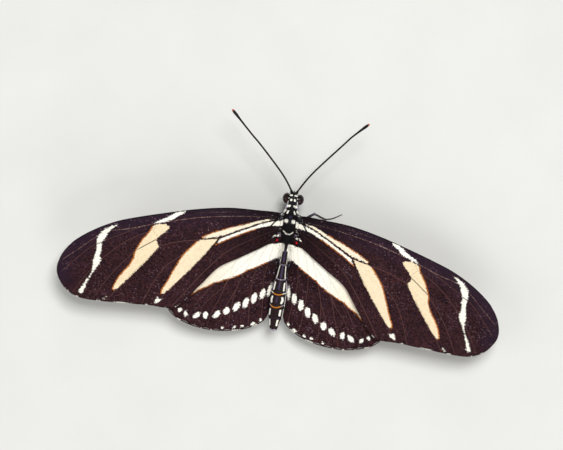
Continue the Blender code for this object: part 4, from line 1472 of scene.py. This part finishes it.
@dataclass
class Trunk:
    """The one skin of head, neck, thorax and abdomen, and the coat of hair and scales over it."""

    skin_finish: bpy.types.Material
    hair_finish: bpy.types.Material
    scale_finish: bpy.types.Material
    lock: LockPattern
    stations: Line = (      # y, height of the middle, half width and half height of the body with its coat
        (-5.75, 5.80, 0.30, 0.45), (-5.60, 5.85, 0.75, 0.90), (-5.10, 5.95, 1.10, 1.30),
        (-4.40, 6.00, 1.32, 1.50), (-3.60, 6.00, 1.28, 1.35), (-3.10, 5.98, 1.26, 1.28),
        (-2.60, 5.95, 1.44, 1.52), (-2.00, 5.88, 1.56, 1.78), (-1.60, 5.80, 1.74, 2.02),
        (-0.90, 5.70, 1.92, 2.38), (0.00, 5.65, 1.92, 2.56), (1.20, 5.65, 1.80, 2.60),
        (2.30, 5.70, 1.58, 2.42), (3.20, 5.82, 1.30, 2.05), (4.00, 6.02, 0.96, 1.50),
        (4.60, 6.15, 0.66, 1.10), (6.00, 6.32, 0.62, 0.98), (7.20, 6.40, 0.74, 1.02),
        (8.35, 6.45, 0.88, 1.08), (10.0, 6.50, 1.06, 1.17), (12.0, 6.52, 1.36, 1.31),
        (13.9, 6.50, 1.54, 1.41), (16.9, 6.40, 1.56, 1.37), (18.7, 6.28, 1.42, 1.22),
        (20.0, 6.18, 1.16, 0.98), (21.1, 6.10, 0.76, 0.66), (21.55, 6.07, 0.30, 0.30))
    coat_depths: Line = ((-5.75, 0.10), (-4.4, 0.16), (-3.2, 0.16), (-2.4, 0.22), (-1.0, 0.30), (1.5, 0.30),
                         (3.4, 0.22), (4.6, 0.10), (20.0, 0.10), (21.5, 0.06))
    joints: tuple[float, ...] = (4.40, 6.1, 8.35, 11.4, 14.2, 16.9, 19.1, 20.6, 21.55)
    segment_profile: Line = ((0.0, 0.93), (0.06, 0.955), (0.35, 0.99), (0.75, 1.0), (0.97, 1.02), (1.0, 1.0))
    twist: Line = ((6.0, 0.0), (12.0, 5.0), (15.5, 11.0),
                   (21.5, 20.0))     # degrees, markings turned to the left
    swellings: Line = (     # height, then |x| and y of the middle, each with its spread
        (0.10, 0.75, 0.35, -1.95, 0.35),        # collar lobes
        (0.08, 0.0, 0.8, 2.8, 0.25),            # scutellum
        (-0.08, 0.45, 0.2, -5.2, 0.25))         # the flats of the brow between the feelers
    end_round: float = 0.3          # over which both ends are rounded off
    sides: int = 96
    rings: int = 290
    bald_radii: Place = (0.50, 1.02, 1.13)      # round the middle of an eye, where no hair grows
    face: Pair = (-5.35, 0.25)      # where the hair starts to hang down over the face, and over what length
    profile: np.ndarray = field(init=False)
    start: float = field(init=False)
    end: float = field(init=False)

    def __post_init__(self) -> None:
        """Draw the smooth lengthwise profile."""
        self.profile = smooth_path(self.stations, 0.1)
        self.start, self.end = self.stations[0][0], self.stations[-1][0]

    def section(self, y: np.ndarray) -> Iterator[np.ndarray]:
        """Find the middle's height, half width and half height of the body with its coat."""
        return (np.interp(y, self.profile[:, 0], column) for column in self.profile.T[1:])

    def surface(self, y: np.ndarray, angle: np.ndarray) -> np.ndarray:
        """Find places on the skin.

        Args:
            y: Places along the trunk.
            angle: Turns about its middle line, 0 at the animal's left and a quarter turn at the top.

        Returns:
            Points in the hinge frame, one row each.
        """
        middle, half_width, half_height = self.section(y)
        depth = np.interp(y, *np.transpose(self.coat_depths))
        short = (self.end_round - np.minimum(y - self.start, self.end - y)).clip(0.0) / self.end_round
        round_off = np.sqrt(np.clip(1.0 - short ** 2, 0.0, 1.0))
        joints = np.array(self.joints)
        number = np.clip(np.searchsorted(joints, y, side="right") - 1, 0, len(joints) - 2)
        share = (y - joints[number]) / (joints[number + 1] - joints[number])
        ring = np.where(y > joints[0], np.interp(share, *np.transpose(self.segment_profile)), 1.0)
        up = np.sin(angle)
        above = np.clip(up, 0.0, 1.0)
        x = np.cos(angle) * np.maximum(half_width - depth, 0.05) * ring * round_off
        z = up * np.maximum(half_height - depth, 0.05) * ring * round_off
        for height, x_middle, x_spread, y_middle, y_spread in self.swellings:
            z += height * above * np.exp(-((np.abs(x) - x_middle) / x_spread) ** 2
                                         - ((y - y_middle) / y_spread) ** 2)
        # the groove before the scutellum and a shallow line down the back
        groove = y - (2.45 - 0.55 * (np.abs(x) / 0.95) ** 2)
        z -= 0.16 * np.exp(-(groove / 0.12) ** 2) * above * (np.abs(x) < 1.1)
        z -= 0.06 * np.exp(-(x / 0.14) ** 2) * above * ((y > -1.5) & (y < 2.2))
        return np.column_stack([x, y, middle + z])

    def frames(self, y: np.ndarray, angle: np.ndarray) -> tuple[np.ndarray, np.ndarray, np.ndarray]:
        """Find places on the skin with their outward and rearward directions.

        Args:
            y: Places along the trunk.
            angle: Turns about its middle line.

        Returns:
            The points, the outward normals and the rearward tangents.
        """
        here = self.surface(y, angle)
        back = unit(self.surface(y + 0.05, angle) - self.surface(y - 0.05, angle))
        out = unit(np.cross(back, self.surface(y, angle + 0.05) - self.surface(y, angle - 0.05)))
        middle, _, _ = self.section(y)
        centre = np.column_stack([np.zeros(len(y)), y, middle])
        out *= np.sign(np.sum(out * (here - centre), axis=1))[:, None]
        return here, out, back

    def marks_at(self, places: np.ndarray) -> dict[str, np.ndarray]:
        """Measure how deep places on the body lie inside its markings.

        Args:
            places: Points in the hinge frame.

        Returns:
            For each tint's attribute the depth inside its marks, negative outside.
        """
        middle, _, _ = self.section(places[:, 1])
        turn = np.radians(np.interp(places[:, 1], *np.transpose(self.twist)))
        height = places[:, 2] - middle
        across = places[:, 0] * np.cos(turn) - height * np.sin(turn)
        rise = height * np.cos(turn) + places[:, 0] * np.sin(turn)
        from_above = np.column_stack([np.abs(across), places[:, 1]])
        from_side = np.column_stack([places[:, 1], rise])
        result = {tint.value: np.full(len(places), OUTSIDE) for tint in Tint}
        for mark in BODY_MARKS:
            gap, _ = nearest_on(from_side if mark.seen_from_side else from_above, mark.line)
            shown = mark.seen_from_side | (rise >= 0.0)
            depth = np.where(shown, mark.half_width - gap, OUTSIDE)
            result[mark.tint.value] = np.maximum(result[mark.tint.value], depth)
        return result

    def skin(self) -> bpy.types.Object:
        """Model the skin from a sphere whose rings are drawn out along the trunk.

        Returns:
            The finished skin.
        """
        item, ball = start_ball("body_skin", self.sides, self.rings)
        share = np.arccos(np.clip(ball[:, 2], -1.0, 1.0)) / math.pi
        y = np.interp(share, (0.0, 0.01, 0.99, 1.0),
                      (self.start, self.start + 0.12, self.end - 0.12, self.end))
        move_vertices(item, to_model(self.surface(y, np.arctan2(ball[:, 1], ball[:, 0]))))
        close_shell(item)
        return coat_piece(item, self.skin_finish, self.marks_at(hinge_places(item)) | {"tone": 0.4}, 60.0)

    def coat(self, stretch: CoatStretch, finish: bpy.types.Material) -> bpy.types.Object:
        """Grow the hair or scales over one stretch of the trunk.

        Args:
            stretch: Where they grow and how.
            finish: The coat's material.

        Returns:
            The finished coat.
        """
        random = np.random.default_rng(SEED + len(stretch.name))
        ys, angles = [], []
        travel = travel_along(self.profile[:, [0, 3]])
        first, last = np.interp(stretch.span, self.profile[:, 0], travel)
        for y in np.interp(np.arange(first, last, stretch.spacing), travel, self.profile[:, 0]):
            _, half_width, half_height = self.section(y)
            girth = 2 * math.pi * math.hypot(half_width, half_height) / math.sqrt(2)
            count = max(6, int(girth / stretch.spacing))
            angles.append((np.arange(count) + random.uniform(-0.4, 0.4, count)) / count * 2 * math.pi)
            ys.append(y + random.uniform(-0.45, 0.45, count) * stretch.spacing * (0.4 if y < -5.5 else 1.0))
        y = np.clip(np.concatenate(ys), self.start + 0.03, self.end - 0.03)
        angle = np.concatenate(angles)
        count = len(y)
        roots, ups, backs = self.frames(y, angle)
        hanging = np.clip((self.face[0] - y) / self.face[1], 0.0, 1.0)[:, None]
        backs = unit(backs * (1.0 - hanging) + (ups * ups[:, 2:] - (0.0, 0.0, 1.0)) * hanging)
        sway = random.normal(0.0, 0.18, count)[:, None]
        lies = backs * np.cos(sway) + np.cross(ups, backs) * np.sin(sway)
        beside_eye = (np.column_stack([np.abs(roots[:, 0]), roots[:, 1:]]) - EYE_CENTRE) / self.bald_radii
        lengths = random.uniform(*stretch.length, count)
        marks = self.marks_at(roots + lies * lengths[:, None] * 0.45)
        for tint in Tint:
            marks[tint.value] = marks[tint.value] + random.normal(0.0, 0.03, count)
        marks["tone"] = random.uniform(0.1, 1.0, count)
        pale = marks["pale"] > 0.0
        beside = (marks["pale"] > -0.3) & ~pale       # dark hair is short beside a pale mark
        lengths *= np.where(pale, 0.8, np.where(beside, 0.6, 1.0))
        along = np.clip((y - self.start) / (self.end - self.start), 0.0, 1.0)
        locks = Locks(roots=roots, ups=ups, lies=lies, lengths=lengths,
                      widths=random.uniform(0.75, 1.25, count) * stretch.width * np.where(pale, 1.4, 1.0),
                      lifts=(np.abs(random.normal(stretch.lift, stretch.lift * 0.35, count))
                             * np.where(pale, 1.15, 1.0)),
                      unwrap=0.02 + 0.96 * np.column_stack([angle % (2 * math.pi) / (2 * math.pi), along]),
                      marks=marks, bow=stretch.bow, sink=0.1 * stretch.lift)
        return locks.kept(np.sum(beside_eye ** 2, axis=1) >= 0.93).grow(stretch.name, self.lock, finish)

    def build(self) -> None:
        """Build and hand over the skin and the stretches of its coat."""
        hand_over(self.skin(), "body_hair", "head", "neck", "thorax", "abdomen")
        for stretch, finish in zip(COATS, (self.hair_finish, self.hair_finish, self.scale_finish)):
            hand_over(self.coat(stretch, finish), "body_hair", *stretch.nodes)


@dataclass
class ShoulderPlate:
    """The small scaled cap over the root of a forewing, like half a bean, with longer hair round it."""

    side: Side
    skin_finish: bpy.types.Material
    hair_finish: bpy.types.Material
    lock: LockPattern
    centre: Place = (1.80, -0.60, 7.04)
    radii: Place = (0.50, 0.82, 0.26)
    turn: float = -14.0
    taper: float = 0.25             # how much narrower it gets to the rear
    count: int = 520
    lie: Place = (0.45, 0.9, 0.0)   # where its hair points

    def build(self) -> None:
        """Model the cap and its scales and hand them over."""
        random = np.random.default_rng(SEED + 23 + self.side.value)
        item, ball = start_ball(f"shoulder_cap_{self.side.label}", 40, 24)
        cos, sin = math.cos(math.radians(self.turn)), math.sin(math.radians(self.turn))
        swing = np.array([[cos, sin, 0.0], [-sin, cos, 0.0], [0.0, 0.0, 1.0]])
        mirror = self.side.mirror
        ball[:, 0] *= 1.0 - self.taper * ball[:, 1]
        move_vertices(item, to_model(((ball * self.radii) @ swing + self.centre) * mirror))
        close_shell(item)
        coat_piece(item, self.skin_finish, Locks.hair_marks(len(ball), random), 60.0)
        hand_over(item, "body_hair", "thorax")

        way = random.normal(0.0, 1.0, (self.count, 3))
        way[:, 2] = np.abs(way[:, 2])
        way = unit(way)
        ups = unit((way / self.radii) @ swing)
        lies = crosswise(np.array(self.lie) + random.normal(0.0, 0.22, (self.count, 3)), ups)
        roots = (way * self.radii) @ swing + self.centre
        share = random.random(self.count)
        front = (roots[:, 1] < -1.15) & (share < 0.5)
        locks = Locks(roots=roots * mirror, ups=ups * mirror, lies=lies * mirror,
                      lengths=random.uniform(0.25, 0.5, self.count),
                      widths=random.uniform(0.06, 0.11, self.count),
                      lifts=np.abs(random.normal(0.25, 0.1, self.count)),
                      unwrap=0.5 + 0.46 * way[:, :2],
                      marks=Locks.hair_marks(self.count, random, clearly(front),
                                             clearly(~front & (share > 0.94))))
        hand_over(locks.grow(f"shoulder_hair_{self.side.label}", self.lock, self.hair_finish),
                  "body_hair", "thorax")


@dataclass
class Eye:
    """One compound eye: a deep oval dome, bulging from the side of the head."""

    side: Side
    finish: bpy.types.Material
    radii: Place = (0.89, 1.05, 1.16)
    sunk_part: float = 0.4          # how deep the half inside the head is against the outer one
    segments: int = 72
    rings: int = 48

    def build(self) -> None:
        """Model the eye and hand it over."""
        item, ball = start_ball(f"eye_dome_{self.side.label}", self.segments, self.rings)
        ball[:, 0] = np.where(ball[:, 0] < 0.0, ball[:, 0] * self.sunk_part, ball[:, 0])
        move_vertices(item, to_model((ball * self.radii + EYE_CENTRE) * self.side.mirror))
        close_shell(item)
        hand_over(coat_piece(item, self.finish, {}, 60.0), "eye", f"eye_{self.side.label}")


# Feelers, mouthparts and legs


def places_round(line: np.ndarray, count: int, margin: int, reach: int,
                 random: np.random.Generator) -> tuple[np.ndarray, np.ndarray, np.ndarray]:
    """Choose places all round a limb for its hair.

    Args:
        line: The limb's points.
        count: How many places.
        margin: How many points stay bare at both ends.
        reach: How many points ahead and behind give the limb's direction.
        random: The source of the choice.

    Returns:
        The point's number, the direction along the limb and the direction out of it, for each place.
    """
    number = random.integers(margin, len(line) - margin - 1, count)
    along = unit(line[number + reach, :3] - line[number - reach, :3])
    return number, along, crosswise(random.normal(0.0, 1.0, (count, 3)), along)


@dataclass
class Feeler:
    """One clubbed feeler: two base joints, a ringed shaft and an orange-tipped club."""

    side: Side
    finish: bpy.types.Material
    route: Line
    shaft: float = 0.175            # radius
    club: float = 0.30
    club_length: float = 2.6
    ring: float = 0.36              # length of one ring of the shaft
    tip_glow: float = 0.45          # length of the orange tip

    def build(self) -> None:
        """Model the feeler and hand it over."""
        line = smooth_path(self.route, self.ring / 4)
        travel = travel_along(line)
        from_tip = (0.0, 0.12, 0.35, 0.9, self.club_length, self.club_length + 1.2)
        radii = np.interp(travel[-1] - travel, from_tip, (0.06, 0.17, 0.25, self.club, 0.20, self.shaft))
        base_joints = np.interp(travel, (0.0, 0.25, 0.50, 0.56, 0.80, 0.95), (1.5, 1.65, 1.4, 1.15, 1.3, 1.0))
        radii *= base_joints * (1.0 + 0.06 * np.cos(travel / self.ring * 2 * math.pi))
        item = draw_tube(f"feeler_{self.side.label}", line, radii, 3)
        away = np.linalg.norm(hinge_places(item) - self.route[-1], axis=1)
        coat_piece(item, self.finish, {"glow": np.clip((self.tip_glow - away) / 0.12, 0.0, 1.0),
                                       "pale": np.where(away < 3.0, -0.2, 0.02)})
        hand_over(item, "antenna", f"antenna_{self.side.label}")


@dataclass
class Mouthparts:
    """The two hairy palps in front of the face and the tongue wound up like a watch spring below it."""

    horn: bpy.types.Material
    tongue_horn: bpy.types.Material
    hair: bpy.types.Material
    lock: LockPattern
    palp_route: Line = (    # each point with the palp's radius
        (0.60, -4.70, 4.95, 0.17), (0.68, -5.50, 4.45, 0.17), (0.68, -5.92, 4.80, 0.15),
        (0.60, -5.98, 5.55, 0.06))
    palp_hairs: int = 900
    tongue_root: Line = ((0.0, -5.20, 4.95), (0.0, -5.35, 4.45))
    tongue_centre: Pair = (-4.75, 2.95)
    tongue_radii: Pair = (1.22, 0.22)           # of the first and the last turn
    tongue_turns: float = 4.05
    tongue_start: float = 125.0
    tongue_width: float = 0.20

    def tongue(self) -> bpy.types.Object:
        """Model the coiled tongue.

        Returns:
            The finished tongue.
        """
        share = np.linspace(0.0, 1.0, 180)
        angle = math.radians(self.tongue_start) + share * self.tongue_turns * 2 * math.pi
        radius = np.interp(share, (0.0, 1.0), self.tongue_radii)
        coil = np.column_stack([0.05 * np.sin(share * 9.0), self.tongue_centre[0] + radius * np.cos(angle),
                                self.tongue_centre[1] + radius * np.sin(angle)])
        line = np.vstack([smooth_path([*self.tongue_root, coil[0]], 0.12)[:-1], coil])
        radii = np.interp(np.linspace(0.0, 1.0, len(line)), (0.0, 0.1, 1.0),
                          (0.14, self.tongue_width / 2, self.tongue_width * 0.3))
        radii *= 1.0 + 0.05 * np.cos(np.arange(len(line)) * 1.6)
        coil = draw_tube("tongue_coil", line, radii, 2)
        return coat_piece(coil, self.tongue_horn, {"glow": 0.0, "pale": 0.0})

    def palp(self, side: Side) -> tuple[bpy.types.Object, bpy.types.Object]:
        """Model one palp and its hair.

        Args:
            side: The animal's side.

        Returns:
            The palp's core and its hair.
        """
        random = np.random.default_rng(SEED + 7 + side.value)
        mirror, count = side.mirror, self.palp_hairs
        line = smooth_path(self.palp_route, 0.06)
        core = draw_tube(f"palp_core_{side.label}", line[:, :3] * mirror, line[:, 3], 2)
        coat_piece(core, self.horn, {"glow": 0.0, "pale": 0.2})
        number, along, out = places_round(line, count, 1, 1, random)
        roots = line[number, :3] + out * line[number, 3][:, None] * 0.9
        pale = np.where(out[:, 0] > 0.1, 0.3, -0.3) + random.normal(0.0, 0.2, count)
        locks = Locks(roots=roots * mirror, ups=out * mirror, lies=along * mirror,
                      lengths=random.uniform(0.18, 0.30, count), widths=random.uniform(0.05, 0.08, count),
                      lifts=np.abs(random.normal(0.35, 0.12, count)),
                      unwrap=np.column_stack([random.uniform(0.02, 0.98, count),
                                              number / len(line) * 0.96 + 0.02]),
                      marks=Locks.hair_marks(count, random, pale), bow=0.2, sink=0.02)
        return core, locks.grow(f"palp_hair_{side.label}", self.lock, self.hair)

    def build(self) -> None:
        """Build and hand over the tongue and both palps."""
        hand_over(self.tongue(), "antenna", "proboscis")
        for side in Side:
            for item in self.palp(side):
                hand_over(item, "antenna", f"palp_{side.label}")


@dataclass
class Leg:
    """One thin jointed leg with its foot joints, claws and bristles."""

    node: str
    side: Side
    horn: bpy.types.Material
    hair: bpy.types.Material
    lock: LockPattern
    route: Line
    radii: tuple[float, ...] = (0.34, 0.30, 0.24, 0.17, 0.13, 0.12, 0.08)
    bend: float = 0.30              # from a joint to where the leg is straight again
    folded: bool = False            # then it hangs under the thorax without foot and claws
    foot_level: float = 0.30
    foot_joints: int = 5
    bristle_count: int = 260

    def path(self) -> np.ndarray:
        """Draw the leg's line, which turns only close to each joint.

        Returns:
            Points with the radius as a fourth column.
        """
        places = np.column_stack([self.route, self.radii])
        joined = [places[0]]
        for before, joint, after in zip(places, places[1:], places[2:]):
            for end in (before, after):
                length = np.linalg.norm(end[:3] - joint[:3])
                joined.append(joint + (end - joint) * min(self.bend / length, 0.45))
        line = smooth_path([*joined, places[-1]], 0.1)
        if not self.folded:
            low = line[:, 2] < self.foot_level + 0.15
            line[low, 2] = np.maximum(line[low, 2], line[low, 3] + 0.005)
            foot = line[:, 2] < self.foot_level
            travel = travel_along(line[:, :3])
            start = travel[foot].min()
            share = ((travel - start) / max(travel[-1] - start, 0.1)).clip(0.0, 1.0) * self.foot_joints
            line[foot, 3] *= 0.88 + 0.24 * (share[foot] % 1.0)
            line[foot, 2] = np.maximum(line[foot, 3], 0.06) + 0.005
        return line

    def claws(self, line: np.ndarray) -> list[bpy.types.Object]:
        """Model the two claws at the end of the foot.

        Args:
            line: The leg's points.

        Returns:
            One mesh for each claw.
        """
        tip = line[-1, :3]
        way = unit(line[-1:, :3] - line[-6, :3])[0]
        across = np.array([-way[1], way[0], 0.0])
        claws = []
        for turn in (-1.0, 1.0):
            hook = np.array([tip - way * 0.05, tip + way * 0.16 + across * turn * 0.08 + (0, 0, 0.03),
                             tip + way * 0.26 + across * turn * 0.12 - (0, 0, 0.05)])
            hook[:, 2] = np.maximum(hook[:, 2], 0.03)
            curve = smooth_path(hook, 0.05)
            radii = np.linspace(0.045, 0.015, 8)[:len(curve)]
            claws.append(draw_tube("claw", curve * self.side.mirror, radii))
        return claws

    def bristles(self, line: np.ndarray) -> bpy.types.Object:
        """Grow the leg's bristles and pale scales.

        Args:
            line: The leg's points.

        Returns:
            The finished bristles.
        """
        random = np.random.default_rng(SEED + len(self.node) * 5 + self.side.value)
        mirror, count = self.side.mirror, self.bristle_count
        number, along, out = places_round(line, count, 3, 2, random)
        roots = line[number, :3] + out * line[number, 3][:, None] * 0.92
        upper = line[number, 2] > 0.5
        locks = Locks(roots=roots * mirror, ups=out * mirror, lies=along * mirror,
                      lengths=np.where(upper, random.uniform(0.14, 0.26, count),
                                       random.uniform(0.06, 0.1, count)),
                      widths=random.uniform(0.03, 0.05, count),
                      lifts=np.abs(random.normal(0.45, 0.15, count)),
                      unwrap=np.column_stack([random.uniform(0.02, 0.98, count),
                                              0.02 + 0.96 * number / len(line)]),
                      marks=Locks.hair_marks(count, random, random.normal(-0.15, 0.10, count),
                                             random.normal(-0.08, 0.06, count)), bow=0.15, sink=0.01)
        return locks.grow(f"bristles_{self.node}", self.lock, self.hair, floor=0.01)

    def build(self) -> None:
        """Model the leg and hand it over."""
        line = self.path()
        shaft = draw_tube("shaft", line[:, :3] * self.side.mirror, line[:, 3], 2)
        item = join(f"limb_{self.node}", [shaft] + ([] if self.folded else self.claws(line)))
        # paler towards the knee: pale scales and a painted highlight
        from_knee = np.linalg.norm(hinge_places(item) - self.route[2] * self.side.mirror, axis=1)
        coat_piece(item, self.horn, {"glow": 0.0, "pale": np.clip(0.45 - from_knee * 0.22, 0.02, 0.4)})
        hand_over(item, "leg", self.node)
        hand_over(self.bristles(line), "leg", self.node)


FORELEG_ROUTE = ((0.60, -0.40, 4.20), (1.05, -1.00, 2.90), (1.10, -2.70, 2.75), (0.95, -3.90, 3.40))
LEG_ROUTES = {
    ("midleg", Side.LEFT): ((0.60, 0.60, 4.00), (1.20, 0.60, 2.70), (4.60, 0.30, 4.90), (6.50, 1.70, 0.60),
                            (7.10, 2.10, 0.14), (8.30, 2.90, 0.14), (9.30, 3.30, 0.12)),
    ("midleg", Side.RIGHT): ((0.60, 0.60, 4.00), (1.20, 0.40, 2.70), (4.49, -2.07, 5.00), (6.74, -1.40, 0.60),
                             (7.30, -1.45, 0.14), (8.30, -1.75, 0.14), (9.81, -2.70, 0.12)),
    ("hindleg", Side.LEFT): ((0.60, 2.00, 4.20), (1.10, 2.60, 2.80), (3.90, 6.40, 4.60), (5.20, 11.10, 0.60),
                             (5.50, 11.90, 0.14), (5.90, 13.40, 0.14), (6.40, 15.20, 0.12)),
    ("hindleg", Side.RIGHT): ((0.60, 2.00, 4.20), (1.10, 2.60, 2.80), (3.80, 6.60, 4.60), (5.30, 11.00, 0.60),
                              (5.70, 11.80, 0.14), (6.20, 13.20, 0.14), (7.00, 14.90, 0.12)),
    ("foreleg", Side.LEFT): FORELEG_ROUTE,
    ("foreleg", Side.RIGHT): FORELEG_ROUTE,
}

FEELER_ROUTES = {
    Side.LEFT: ((0.42, -5.40, 6.75), (0.47, -5.55, 7.10), (0.60, -5.85, 7.38), (2.10, -7.94, 7.80),
                (4.04, -10.04, 8.20), (7.77, -13.65, 8.95), (10.07, -15.68, 9.40), (14.20, -19.55, 10.20)),
    Side.RIGHT: ((-0.42, -5.40, 6.75), (-0.48, -5.60, 7.10), (-0.65, -5.95, 7.38), (-2.18, -8.59, 7.90),
                 (-4.15, -11.30, 8.45), (-7.83, -15.84, 9.35), (-9.52, -17.90, 9.75),
                 (-12.30, -20.70, 10.20)),
}


@dataclass
class Studio:
    """The pale floor, the soft lights and the camera straight above, as the photograph was taken."""

    paper: bpy.types.Material
    floor_size: float = 3.0
    lights: Sequence[tuple[str, Place, float, float]] = (       # name, place and width in metres, watts
        ("key_light", (-0.08, -0.22, 0.72), 0.28, 4.7),
        ("fill_light", (0.55, 0.25, 0.50), 0.60, 1.6),
        ("rear_light", (-0.30, 0.60, 0.45), 0.50, 2.6))
    air: str = "eceef0"
    air_strength: float = 0.22
    lens: float = 135.0
    sensor: float = 36.0
    field_width: float = 108.7      # millimetres across the picture at the height of the wings
    wing_level: float = 8.0
    aim: Pair = (1.49, -0.22)
    roll: float = 188.70            # degrees about the vertical

    def hang_lights(self) -> None:
        """Hang the soft area lights, each facing the insect, in pale air."""
        for name, place, size, power in self.lights:
            lamp = start_from(name, bpy.ops.object.light_add, type="AREA", location=place)
            lamp.data.size = size
            lamp.data.energy = power
            lamp.rotation_euler = Vector(place).to_track_quat("Z", "Y").to_euler()
        world = bpy.data.worlds.new("studio_air")
        bpy.context.scene.world = world
        world.use_nodes = True
        backdrop = world.node_tree.nodes["Background"]
        backdrop.inputs["Color"].default_value = linear(self.air)
        backdrop.inputs["Strength"].default_value = self.air_strength
        bpy.context.scene.view_settings.view_transform = "Standard"

    def build(self) -> None:
        """Lay the floor, hang the lights and set the camera."""
        floor = start_from("studio_floor", bpy.ops.mesh.primitive_circle_add, vertices=96,
                           radius=self.floor_size, fill_type="NGON")
        floor.data.materials.append(self.paper)
        self.hang_lights()
        height = self.wing_level + self.field_width * self.lens / self.sensor
        camera = start_from("studio_camera", bpy.ops.object.camera_add,
                            location=(self.aim[0] * MM, self.aim[1] * MM, height * MM),
                            rotation=(0.0, 0.0, math.radians(self.roll)))
        camera.data.sensor_width = self.sensor
        camera.data.sensor_fit = "HORIZONTAL"
        camera.data.lens = self.lens
        camera.data.clip_start = 0.01
        camera.data.clip_end = 20.0
        bpy.context.scene.camera = camera


def main() -> None:
    """Build the insect and its studio, piece by piece."""
    logging.basicConfig(level=logging.INFO, format="%(name)s %(message)s")
    tuft = LockPattern.model("tuft_pattern", ring=0.45, swell=1.35, flatness=0.40)
    blade = LockPattern.model("blade_pattern", ring=0.72, swell=2.6, flatness=0.18)
    scales = WingScales().make()
    skin = HairCoat("horny_skin_with_short_hair").make()
    hair = HairCoat("fine_hair_and_scales").make()
    abdomen_scales = HairCoat("flat_abdomen_scales", pelt="170a0c", pelt_light="5a3033").make()
    eye_lens = EyeLens().make()
    feeler_horn = Horn("chitin_feeler_satin", dark="070405", light="191214", gloss=0.12).make()
    # the lilac-grey near the knees is pale scales and a painted highlight
    leg_horn = Horn("chitin_leg_satin", light="33282d", pale="857a94").make()
    tongue_horn = Horn("chitin_tongue_brown", dark="2b1a12", light="5a3b26", roughness=0.35).make()

    for side in Side:
        for plan in (FOREWING, HINDWING):
            Wing(plan, side, scales, hair, blade, tuft).build()
    Trunk(skin, hair, abdomen_scales, tuft).build()
    for side in Side:
        ShoulderPlate(side, skin, hair, tuft).build()
        Eye(side, eye_lens).build()
        Feeler(side, feeler_horn, FEELER_ROUTES[side]).build()
    Mouthparts(feeler_horn, tongue_horn, hair, tuft).build()
    for (kind, side), route in LEG_ROUTES.items():
        folded = {"radii": (0.24, 0.20, 0.17, 0.10), "folded": True} if kind == "foreleg" else {}
        Leg(f"{kind}_{side.label}", side, leg_horn, hair, tuft, route, **folded).build()
    Studio(PaperSweep().make()).build()


if __name__ == "__main__":
    main()
